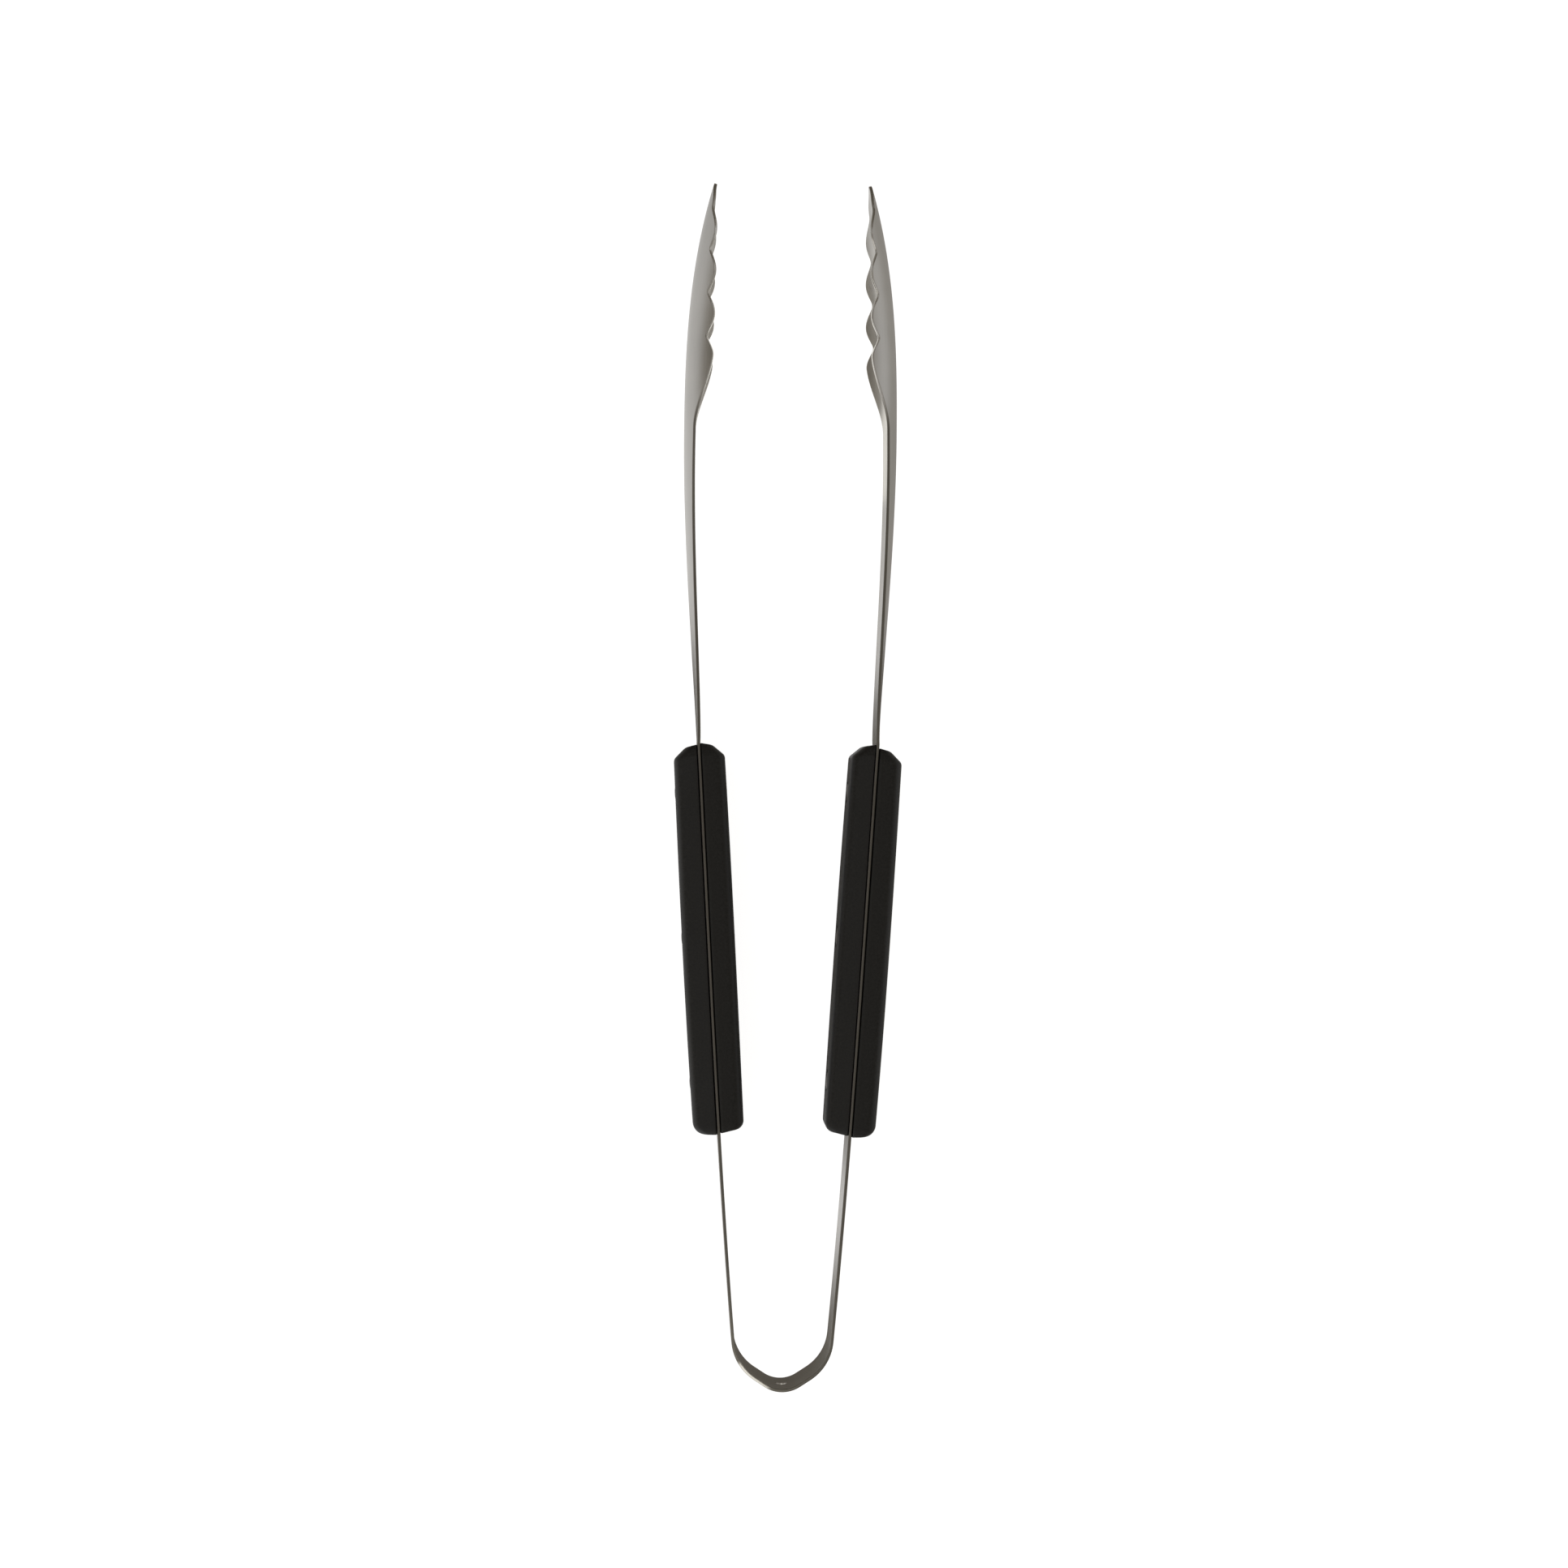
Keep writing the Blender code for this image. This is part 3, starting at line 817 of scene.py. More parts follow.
    def bow_skin(self, distance: Array, height: Array, offset: Array) -> Array:
        """Points on or beside the bow's middle surface, between the two seams.

        The middle line is an arc, a flat, a wider arc and the start of the leg, mirrored about the
        bottom. A point is moved out of it along the line's normal.

        Args:
            distance: Distance along the strip from the bow's bottom, negative on the left.
            height: Height from the middle plane.
            offset: Distance out of the middle surface.

        Returns:
            Signed spread, station and height, last.
        """
        reach = np.abs(distance)
        bottom = math.radians(self.bottom_angle)
        leg_spread, leg_station, end = self.corner_end()
        arc, flat, corner = self.bow_lengths()
        first = np.minimum(reach, arc) / self.bottom_radius
        straight = np.clip(reach - arc, 0.0, self.bow_flat)
        second = bottom + np.clip(reach - flat, 0.0, corner - flat) / self.corner_radius
        x = self.bottom_radius * np.sin(first) + straight * math.cos(bottom)
        x += self.corner_radius * (np.sin(second) - math.sin(bottom))
        y = self.half_sheet + self.bottom_radius * (1.0 - np.cos(first)) + straight * math.sin(bottom)
        y += self.corner_radius * (math.cos(bottom) - np.cos(second))
        angle = np.where(reach < arc, first, second)
        normal_x, normal_y = np.sin(angle), -np.cos(angle)
        station = leg_station + (reach - corner) / math.hypot(1.0, self.splay)
        on_leg = reach > corner
        leg_x, leg_y = self.normal(station)
        x = np.where(on_leg, self.spread(station), x)
        y = np.where(on_leg, station, y)
        normal_x = np.where(on_leg, leg_x, normal_x)
        normal_y = np.where(on_leg, leg_y, normal_y)
        sign = np.where(distance < 0.0, -1.0, 1.0)
        spread = sign * (x + normal_x * offset)
        return np.stack([spread, y + normal_y * offset, np.broadcast_to(height, x.shape)], axis=-1)


@dataclass
class Bow:
    """The bent end of the strip, with its hanging hole."""

    strip: Strip  # the strip's shape
    stand: Stand  # where the strip lies in the frame
    edge: CutEdge  # the form of its cut edges
    hole_steps: int = 36  # rows across the hanging hole
    face_steps: int = 12  # columns from the middle to the edge
    row_step: float = 0.4  # distance between rows away from the hole
    painted_glint_reach: Pair = (-17.0, -3.0)  # where the edge is painted bright as a glint, as distances along the strip
    painted_glint_ramp: float = 3.0  # distance over which the painted glint fades out

    def rows(self) -> ArrayPair:
        """The bow's rows. Those across the hole lie at the cosine of even angles, for a round rim.

        Returns:
            Distance of each row along the strip, and how high the hole's rim stands in it.
        """
        rim = self.strip.hole_radius + self.edge.radius
        turn = np.linspace(math.pi, 0.0, self.hole_steps + 1)
        end = self.strip.seam_distance()
        count = int(round((end - rim) / self.row_step))
        beyond = np.linspace(rim, end, count + 1)[1:]
        distance = np.concatenate([-beyond[::-1], rim * np.cos(turn), beyond])
        rise = rim * np.sin(turn)
        rise[[0, -1]] = 0.0
        return distance, np.concatenate([np.zeros(count), rise, np.zeros(count)])

    def painted_glint(self, distance: Array) -> Array:
        """Share of the cut edge's finish along the bow.

        Args:
            distance: Distances along the strip from the bow's bottom.

        Returns:
            1, falling to -1 where the edge is painted in the faces' colour and made smoother, a painted
            glint.
        """
        start, end = self.painted_glint_reach
        ramp = self.painted_glint_ramp
        bright = smoothstep((distance - start) / ramp) * smoothstep((end - distance) / ramp)
        return 1.0 - 2.0 * bright

    def half_sheet_grid(self, up: float) -> ArrayPair:
        """The upper or lower half of the strip, from the middle out to the edge and back inside.

        Args:
            up: 1 for the upper half and -1 for the lower.

        Returns:
            Points in metres, and the marks that go with them.
        """
        distance, rim = self.rows()
        inset, offset = self.edge.columns(self.strip.half_sheet)
        share = np.linspace(0.0, 1.0, self.face_steps + 1)[:-1]
        flat = self.strip.half_width - inset[0]
        out = rim[:, None] + (flat - rim[:, None]) * share
        edge = np.broadcast_to(self.strip.half_width - inset, (len(distance), len(inset)))
        height = up * np.concatenate([out, edge, out[:, ::-1]], axis=1)
        face = np.full(len(share), self.strip.half_sheet)
        offsets = np.broadcast_to(np.concatenate([face, offset, -face]), height.shape)
        along = np.broadcast_to(distance[:, None], height.shape)
        points = self.stand.place(self.strip.bow_skin(along, height, offsets))
        none = np.zeros(len(share))
        # The edge share turns negative on the bow's lower left edge, which paints a glint there.
        edge_share_and_highlight = np.concatenate([none, self.edge.share(inset), none]) * self.painted_glint(distance)[:, None]
        return points, np.stack([along * MM, height * MM, edge_share_and_highlight], axis=-1)

    def hole_grid(self) -> ArrayPair:
        """The wall of the hanging hole, a ring whose two rims are rounded as the edges are.

        Returns:
            Points in metres, and the marks that go with them.
        """
        inset, offset = self.edge.columns(self.strip.half_sheet)
        inset, offset = inset[1:-1], offset[1:-1]
        turn = np.linspace(0.0, 2.0 * math.pi, 2 * self.hole_steps + 1)
        turn[-1] = 0.0
        radius = self.strip.hole_radius + inset
        along = np.cos(turn)[:, None] * radius
        height = np.sin(turn)[:, None] * radius
        offsets = np.broadcast_to(offset, along.shape)
        points = self.stand.place(self.strip.bow_skin(along, height, offsets))
        return points, np.stack([along * MM, height * MM, np.zeros_like(along)], axis=-1)

    def build(self, finish: Material) -> Piece:
        """Makes the bow and hangs it on its body.

        Args:
            finish: The strip's material.

        Returns:
            The bow.
        """
        surface = Surface()
        for up in (1.0, -1.0):
            surface.add_grid(*self.half_sheet_grid(up), closed=False, capped=True)
        surface.add_grid(*self.hole_grid(), closed=False, capped=False)
        item = surface.build("bow_strip", finish)
        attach(item, "bow")
        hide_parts("spring_bow")
        return item


@dataclass
class ArmPart:
    """What the pieces of an arm share."""

    side: Side  # the arm that the piece belongs to
    strip: Strip  # the strip's shape
    stand: Stand  # where the strip lies in the frame

    @property
    def body(self) -> str:
        """The body that the arm's pieces move with."""
        return f"{self.side.label}_arm"


@dataclass
class Arm(ArmPart):
    """One arm of the strip, from the bow to the scalloped scoop."""

    edge: CutEdge  # the form of its cut edges
    face_steps: int = 24  # columns across each face
    leg_rows: int = 62  # rows from the seam to the handle
    handle_rows: int = 58  # rows along the handle
    arm_rows: int = 60  # rows from the handle to the scoop
    heel_rows: int = 44  # rows along the scoop's heel
    notch_rows: int = 24  # rows from one notch to the next
    nose_rows: int = 34  # rows from the last notch to the tip
    # share of a quarter turn at which the nose's rows stop, so that the tip has a width
    nose_end: float = 0.985
    # how far the scoop's lips are polished smoother than the faces and painted in the faces' lighter
    # colour as a highlight, as a negative share of the cut edge's finish
    lip_polish_and_highlight: float = 1.0

    def rows(self) -> Array:
        """The arm's rows. Each notch lies on a row, and the nose's rows close up as a sine does.

        Returns:
            Their stations.
        """
        strip = self.strip
        last_notch = strip.first_notch + (strip.notch_count - 1) * strip.notch_pitch
        stretches = (
            (strip.seam, strip.handle_start, self.leg_rows),
            (strip.handle_start, strip.handle_end, self.handle_rows),
            (strip.handle_end, strip.heel_start, self.arm_rows),
            (strip.heel_start, strip.first_lobe, self.heel_rows),
            (strip.first_lobe, strip.first_notch, self.notch_rows // 2),
            (strip.first_notch, last_notch, self.notch_rows * (strip.notch_count - 1)),
        )
        rows = [np.linspace(first, last, count, endpoint=False) for first, last, count in stretches]
        turn = np.linspace(0.0, self.nose_end * math.pi / 2, self.nose_rows)
        rows.append(last_notch + (strip.length - last_notch) * np.sin(turn))
        return np.concatenate(rows)

    def grid(self) -> ArrayPair:
        """The arm's closed section carried along its stations.

        The edge of the sheet is a line S(y) on the middle surface. Its outward direction in that
        surface is (1, -S') over its length, and a column with an inset e starts from the edge's point
        moved back by e along that direction, so that the deburred corner follows notches and nose.

        Returns:
            Points in metres, and the marks that go with them.
        """
        station = self.rows()
        radius, angle = self.strip.section(station)
        half = radius * angle * self.strip.scallop(station)
        slope = np.gradient(half, station)
        size = np.hypot(1.0, slope)
        inset, offset = self.edge.columns(self.strip.half_sheet)
        share = np.linspace(-1.0, 1.0, self.face_steps + 1)[1:-1]
        flat = np.full(len(share), inset[0])
        face = np.full(len(share), self.strip.half_sheet)
        side = np.ones(len(inset))
        shares = np.concatenate([share, side, -share, -side])
        insets = np.concatenate([flat, inset, flat, inset[::-1]])
        offsets = np.concatenate([face, offset, -face, offset[::-1]])
        where = station[:, None] + insets * (slope / size)[:, None]
        across = shares * (half[:, None] - insets * (1.0 / size)[:, None])
        points = self.strip.skin(where, across, np.broadcast_to(offsets, where.shape))
        along = self.strip.seam_distance() + where - self.strip.seam
        heel = smoothstep((where - self.strip.heel_start) / self.strip.heel_length)
        # On the scoop's lips the edge share turns negative: smoother, and painted in the faces' colour
        # as a highlight.
        edge_share_and_highlight = self.edge.share(insets) * (1.0 - (1.0 + self.lip_polish_and_highlight) * heel)
        marks = np.stack([self.side.value * along * MM, across * MM, edge_share_and_highlight], axis=-1)
        return self.stand.place(points, self.side), marks

    def build(self, finish: Material, cutters: list[Piece]) -> Piece:
        """Makes the arm and cuts its rivet holes.

        Args:
            finish: The strip's material.
            cutters: Bodies of the rivet holes.

        Returns:
            The arm.
        """
        surface = Surface()
        surface.add_grid(*self.grid(), closed=True, capped=True)
        item = surface.build(f"{self.body}_strip", finish)
        cut_holes(item, cutters, surface.smooth_angle)
        strip = self.strip
        far = 2.0 * strip.hinge_station - strip.seam
        ends = [self.side.value * float(strip.spread(np.array(y))) for y in (strip.seam, far)]
        start, end = (self.stand.spot(x, y) for x, y in zip(ends, (strip.seam, far)))
        self.body
        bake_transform(item)
        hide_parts(f"{self.side.label}_blade")
        return item


# --- The handles ---


@dataclass(frozen=True)
class ScaleForm:
    """Shape of a handle scale, in millimetres."""

    thickness: float = 16.0  # thickness of the whole handle at its middle
    barrel: float = 0.32  # how much each face falls away towards the handle's ends
    overhang: float = 1.0  # how far a scale stands past the strip's edge
    seat: float = 0.28  # gap between a scale and the strip at the strip's edges
    bedding: float = 0.02  # gap between them away from the edges
    bed_depth: float = 7.4  # distance from the middle plane up to which the scale lies close
    bed_step: float = 0.4  # depth over which the close gap widens to the seat
    crown: float = 0.095  # slope of the wide near and far faces, away from the strip
    edge_radius: float = 2.8  # radius of the long outer edges
    edge_share: float = 0.7  # largest share of the scale's thickness that this radius takes
    groove_radius: float = 0.2  # radius of the edges along the strip
    # how far the end towards the bow slopes, for the outer and the inner scale
    bow_rise: Pair = (0.3, 1.0)
    bow_setback: float = 0.4  # how far that end stands back on the inner scale
    bow_radius: Pair = (3.8, 2.8)  # radius of that end's corner, for the outer and the inner scale
    shoulder_drop: float = 0.65  # fall of the end towards the jaws where its shoulder begins
    shoulder_out: float = 4.4  # distance from the strip's middle where the shoulder begins
    shoulder_length: float = 4.0  # how far back the shoulder reaches
    shoulder_radius: float = 3.4  # radius where the shoulder begins
    corner_radius: float = 1.9  # radius where it meets the outer face
    plan_round: float = 1.2  # how far the ends fall away from the wide faces
    plan_length: Pair = (2.5, 4.0)  # length over which they do, at the bow and at the jaws
    end_reach: Pair = (8.0, 12.0)  # length of each shaped end, at the bow and at the jaws
    thin_groove: float = 0.3  # largest share of the scale's thickness that the groove's radius takes

    def half_thickness(self, station: Array, strip: Strip) -> Array:
        """Distance from the strip's middle to a scale's outer face, falling off as a square."""
        along = 2.0 * (station - strip.handle_start) / (strip.handle_end - strip.handle_start) - 1.0
        return self.thickness / 2 - self.barrel * along**2


@dataclass
class Scale(ArmPart):
    """One moulded scale of a handle."""

    layer: Layer  # whether it lies on the strip's outer or inner face
    form: ScaleForm  # the scale's shape
    start_ahead: float = 0.0  # how far the end towards the bow stands out past the handle's start
    end_setback: float = 0.0  # how far the end towards the jaws stands back
    arc_steps: int = 9  # segments of each rounded corner along the handle
    long_steps: int = 70  # rings between the two ends
    end_steps: int = 12  # rings down each end
    edge_steps: int = 10  # segments of the long rounded edges
    face_steps: int = 6  # columns across each wide face
    groove_steps: int = 4  # segments of the edges along the strip
    side_steps: int = 4  # columns from the long edge to the middle plane

    @property
    def label(self) -> str:
        """The scale's name as the frame spells it."""
        return f"{self.side.label}_{self.layer.label}_scale"

    @property
    def ends(self) -> Pair:
        """The scale's two ends.

        Returns:
            Stations where it starts and ends.
        """
        setback = 0.0 if self.layer is Layer.OUTER else self.form.bow_setback
        start = self.strip.handle_start - self.start_ahead + setback
        return start, self.strip.handle_end - self.end_setback

    def rings(self) -> ArrayPair:
        """How far the scale reaches out from the strip along the handle.

        The outline is a polygon with rounded corners: up the end at the bow, along the outer face, over
        a shoulder, and down the end at the jaws.

        Returns:
            Reach and station of each ring.
        """
        form, strip, reach = self.form, self.strip, self.form.end_reach
        number = 0 if self.layer is Layer.OUTER else 1
        low = strip.half_sheet + form.seat
        high = form.thickness / 2
        start, end = self.ends
        thin = low + 2.0 * form.groove_radius
        slope = form.bow_rise[number] / (high - low)
        corners = [[thin, start], [high, start + (high - thin) * slope], [high, start + reach[0]]]
        radii = np.array([form.bow_radius[number]])
        bow_end = rounded_outline(np.array(corners), radii, self.arc_steps)
        shoulder = [form.shoulder_out, end - form.shoulder_drop]
        corners = [[high, end - reach[1]], [high, end - form.shoulder_length], shoulder, [thin, end]]
        radii = np.array([form.corner_radius, form.shoulder_radius])
        jaw_end = rounded_outline(np.array(corners), radii, self.arc_steps)
        fine = np.linspace(0.0, 1.0, self.end_steps + 1)[:-1, None]
        first = bow_end[0] + (bow_end[1] - bow_end[0]) * fine
        last = jaw_end[-1] + (jaw_end[-2] - jaw_end[-1]) * fine
        stations = np.linspace(bow_end[-1, 1], jaw_end[0, 1], self.long_steps)
        middle = np.stack([np.full(self.long_steps, high), stations], axis=1)
        rings = np.concatenate([first, bow_end[1:-1], middle, jaw_end[1:-1], last[::-1]])
        reach = rings[:, 0] - high + form.half_thickness(rings[:, 1], strip)
        return reach, rings[:, 1]

    def half_depth(self, station: Array) -> Array:
        """Half the scale's depth: full along the handle, with a quarter ellipse down at each end.

        Args:
            station: Stations in millimetres.

        Returns:
            Half the depth at each station.
        """
        strip, form = self.strip, self.form
        full = strip.half_width + form.overhang
        start, end = self.ends
        bow_way = np.clip(1.0 - (station - start) / form.plan_length[0], 0.0, 1.0)
        jaw_way = np.clip(1.0 - (end - station) / form.plan_length[1], 0.0, 1.0)
        fall = 2.0 - np.sqrt(1.0 - bow_way**2) - np.sqrt(1.0 - jaw_way**2)
        return full - form.plan_round * fall

    def section(self, reach: Array, depth: Array) -> ArrayPair:
        """Closed outline of every ring.

        The back lies close to the strip and steps away from it near the strip's edge. A small quarter
        circle leads on to the wide face, which falls away at a steady slope to the long rounded edge.
        That edge starts where its circle has the face's slope.

        Args:
            reach: How far each ring reaches out from the strip's middle.
            depth: Half the depth of each ring.

        Returns:
            Distance from the strip's middle and height of each point, ring by ring.
        """
        form = self.form
        low = self.strip.half_sheet + form.seat
        room = (reach - low)[:, None]
        groove = np.minimum(form.groove_radius, form.thin_groove * room)
        radius = np.minimum(form.edge_radius, form.edge_share * room)
        tilt = math.atan(form.crown)
        depth = depth[:, None]
        turn = np.linspace(0.0, math.pi / 2, self.groove_steps + 1)[:-1]
        groove_out = low + groove * (1.0 - np.cos(turn))
        groove_up = depth - groove + groove * np.sin(turn)
        edge_turn = np.linspace(tilt, math.pi / 2, self.edge_steps + 1)
        edge_out = reach[:, None] - radius + radius * np.sin(edge_turn)
        top = depth - (edge_out[:, :1] - low - groove) * form.crown
        edge_up = top - radius * math.cos(tilt) + radius * np.cos(edge_turn)
        share = np.linspace(0.0, 1.0, self.face_steps + 1)[:-1]
        face_out = low + groove + (edge_out[:, :1] - low - groove) * share
        face_up = depth + (top - depth) * share
        side_up = edge_up[:, -1:] * np.linspace(1.0, 0.0, self.side_steps + 1)[1:-1]
        side_out = np.broadcast_to(edge_out[:, -1:], side_up.shape)
        close = self.strip.half_sheet + form.bedding
        back_out = np.broadcast_to(np.array([close, low]), (len(reach), 2))
        back_up = np.broadcast_to(np.array([0.0, form.bed_step]) + form.bed_depth, (len(reach), 2))
        out = np.concatenate([back_out, groove_out, face_out, edge_out, side_out], axis=1)
        up = np.concatenate([back_up, groove_up, face_up, edge_up, side_up], axis=1)
        outs = np.concatenate([out, out[:, -1:], out[:, ::-1]], axis=1)
        ups = np.concatenate([up, np.zeros_like(up[:, :1]), -up[:, ::-1]], axis=1)
        return outs, ups

    def build(self, finish: Material, cutters: list[Piece]) -> Piece:
        """Makes the scale, cuts its rivet holes and hangs it on its arm.

        Args:
            finish: The scale's material.
            cutters: Bodies of the rivet holes.

        Returns:
            The scale.
        """
        reach, station = self.rings()
        out, up = self.section(reach, self.half_depth(station))
        out = out * self.layer.value
        normal_x, normal_y = self.strip.normal(station)
        x = self.strip.spread(station)[:, None] + out * normal_x[:, None]
        y = station[:, None] + out * normal_y[:, None]
        points = self.stand.place(np.stack([x, y, up], axis=-1), self.side)
        marks = np.stack([y * MM, up * MM, np.zeros_like(up)], axis=-1)
        surface = Surface(smooth_angle=MOULDED_ANGLE)
        surface.add_grid(points, marks, closed=True, capped=True)
        item = surface.build(f"{self.label}_moulding", finish)
        cut_holes(item, cutters, surface.smooth_angle)
        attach(item, self.body)
        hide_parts(self.label)
        return item


@dataclass(frozen=True)
class RivetForm:
    """Sizes of a two-piece rivet, in millimetres."""

    end_margin: float = 14.8  # distance from the handle's ends to the end rivets
    head_radius: float = 3.4  # radius of the heads
    head_rim: float = 0.6  # thickness of a head at its rim
    rim_round: float = 0.12  # radius of the rim's upper corner
    sink: float = 0.3  # how deep the rim lies in the scale
    proud: float = 0.15  # how far the dome stands out of it
    socket_radius: float = 2.0  # radius of the socket's tube
    bore_radius: float = 1.4  # radius of the socket's bore
    socket_floor: float = 1.4  # thickness of metal under the bore
    tip_clearance: float = 0.5  # room between the stud's pin and the bore's floor
    pin_play: float = 0.3  # gap between the pin and the bore
    mouth_play: float = 0.3  # gap between the socket's mouth and the stud's head
    hole_play: float = 0.3  # gap round the socket's tube in its hole
    pocket_play: float = 0.12  # gap round a head in its pocket
    pin_chamfer: float = 0.25  # size of the chamfer at the pin's end
    cutter_excess: float = 1.0  # how far the hole's body stands out of the scales' faces
    turn_steps: int = 64  # segments round the axis
    rim_steps: int = 3  # segments of the rim's upper corner
    dome_steps: int = 11  # segments of the dome

    def head(self, face: float) -> Array:
        """A domed head above its underside, from its rim to the axis.

        The dome is the parabola 1 - r^2, and the rim's corner is a quarter circle.

        Args:
            face: Distance of the scale's face from the strip's middle.

        Returns:
            Radius and height of each point.
        """
        top = face - self.sink
        rise = self.sink + self.proud
        turn = np.linspace(0.0, math.pi / 2, self.rim_steps + 1)
        rim_radius = self.head_radius - self.rim_round * (1.0 - np.cos(turn))
        rim_height = top - self.rim_round * (1.0 - np.sin(turn))
        share = np.linspace(1.0, 0.0, self.dome_steps + 1)[1:]
        edge = self.head_radius - self.rim_round
        radius = np.concatenate([[self.head_radius], rim_radius, edge * share])
        height = np.concatenate([[top - self.head_rim], rim_height, top + rise * (1.0 - share**2)])
        return np.stack([radius, height], axis=1)

    def stud(self, face: float) -> Array:
        """A pin that ends inside the socket, and a domed head on the outer face.

        Args:
            face: Distance of the scale's face from the strip's middle.

        Returns:
            Radius and height of each point.
        """
        pin = self.bore_radius - self.pin_play
        end = -face + self.socket_floor + self.tip_clearance
        underside = face - self.sink - self.head_rim
        blunt = [[pin - self.pin_chamfer, end], [pin, end + self.pin_chamfer]]
        shank = [[0.0, end], *blunt, [pin, underside]]
        return np.concatenate([np.array(shank), self.head(face)])

    def socket(self, face: float) -> Array:
        """A tube with a blind bore, and a domed head on the inner face.

        Args:
            face: Distance of the scale's face from the strip's middle.

        Returns:
            Radius and height of each point.
        """
        mouth = face - self.sink - self.head_rim - self.mouth_play
        floor = -face + self.socket_floor
        head = self.head(face)[::-1] * np.array([1.0, -1.0])
        underside = head[-1, 1]
        tube = [[self.socket_radius, underside], [self.socket_radius, mouth], [self.bore_radius, mouth]]
        return np.concatenate([head, np.array(tube + [[self.bore_radius, floor], [0.0, floor]])])

    def hole(self, face: float) -> Array:
        """The hole through strip and scales, with a pocket for the head in each outer face.

        Args:
            face: Distance of the scale's face from the strip's middle.

        Returns:
            Radius and height of each point.
        """
        beyond = face + self.cutter_excess
        pocket = face - self.sink - self.head_rim - self.pocket_play
        wide = self.head_radius + self.pocket_play
        narrow = self.socket_radius + self.hole_play
        upper = np.array([[narrow, pocket], [wide, pocket], [wide, beyond], [0.0, beyond]])
        return np.concatenate([upper[::-1] * np.array([1.0, -1.0]), upper])


@dataclass
class Rivet(ArmPart):
    """One rivet of a handle: a stud from the outer side in a socket from the inner side."""

    place: RivetPlace  # which rivet of the handle it is
    scale: ScaleForm  # the scales' shape
    form: RivetForm  # the rivet's sizes

    @property
    def station(self) -> float:
        """The rivet's station, spread evenly between the end margins.

        Returns:
            The station in millimetres.
        """
        first = self.strip.handle_start + self.form.end_margin
        last = self.strip.handle_end - self.form.end_margin
        return first + (last - first) * self.place.value / (len(RivetPlace) - 1)

    def turned(
        self, profile: Array, name: str, finish: Material | None = None
    ) -> Piece:
        """A profile turned round the rivet's axis, which points out of the strip's outer face.

        A point with radius r and height h lies h along the axis from the strip's middle, and r away
        from it at each angle.

        Args:
            profile: Radius and height of each point, starting and ending on the axis.
            name: The object's name.
            finish: Its material, if it stays in the scene.

        Returns:
            The turned body.
        """
        station = np.array(self.station)
        normal_x, normal_y = self.strip.normal(station)
        axis = np.array([float(normal_x), float(normal_y), 0.0])
        flat = np.array([-axis[1], axis[0], 0.0])
        upright = np.array([0.0, 0.0, 1.0])
        turn = np.linspace(0.0, 2.0 * math.pi, self.form.turn_steps + 1)[:-1]
        ring = np.cos(turn)[:, None] * flat + np.sin(turn)[:, None] * upright
        centre = np.array([float(self.strip.spread(station)), self.station, 0.0])
        points = centre + profile[:, 1, None, None] * axis + profile[:, 0, None, None] * ring
        radius = np.broadcast_to(profile[:, 0, None] * MM, points.shape[:2])
        angle = np.broadcast_to(turn * MM, points.shape[:2])
        marks = np.stack([angle, radius, np.zeros_like(angle)], axis=-1)
        surface = Surface(smooth_angle=MOULDED_ANGLE)
        surface.add_grid(self.stand.place(points, self.side), marks, closed=True, capped=False)
        return surface.build(name, finish)

    @property
    def face(self) -> float:
        """Distance of the scales' faces from the strip's middle at the rivet."""
        return float(self.scale.half_thickness(np.array(self.station), self.strip))

    def cutter(self) -> Piece:
        """The body of the rivet's hole, for cutting the strip and the scales."""
        name = f"{self.side.label}_{self.place.label}_hole"
        return self.turned(self.form.hole(self.face), name)

    def build(self, finish: Material) -> list[Piece]:
        """Makes the stud and the socket and hangs them on their arm.

        Args:
            finish: The rivet's material.

        Returns:
            The stud and the socket.
        """
        label = f"{self.side.label}_{self.place.label}"
        profiles = {"stud": self.form.stud(self.face), "socket": self.form.socket(self.face)}
        made = []
        for part, profile in profiles.items():
            item = self.turned(profile, f"{label}_{part}", finish)
            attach(item, self.body)
            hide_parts(f"{label}_rivet_{part}")
            made.append(item)
        return made


@dataclass
class ArmAssembly(ArmPart):
    """One arm with its scales and rivets."""

    edge: CutEdge  # the form of the strip's cut edges
    scale: ScaleForm  # the scales' shape
    rivet: RivetForm  # the rivets' sizes
    start_ahead: float  # how far the scales stand out past the handle's start
    outer_setback: float  # how far the outer scale's end stands back at the jaws

    def build(
        self, steel: Material, plastic: Material, rivet_steel: Material
    ) -> list[Piece]:
        """Makes every piece of the arm.

        Args:
            steel: The strip's material.
            plastic: The scales' material.
            rivet_steel: The rivets' material.

        Returns:
            The pieces.
        """
        place = (self.side, self.strip, self.stand)
        rivets = [Rivet(*place, number, self.scale, self.rivet) for number in RivetPlace]
        cutters = [rivet.cutter() for rivet in rivets]
        made = [Arm(*place, self.edge).build(steel, cutters)]
        setbacks = {Layer.OUTER: self.outer_setback, Layer.INNER: 0.0}
        for layer, setback in setbacks.items():
            scale = Scale(*place, layer, self.scale, self.start_ahead, setback)
            made.append(scale.build(plastic, cutters))
        for rivet in rivets:
            made += rivet.build(rivet_steel)
        for cutter in cutters:
            bpy.data.objects.remove(cutter)
        return made


# --- The studio ---


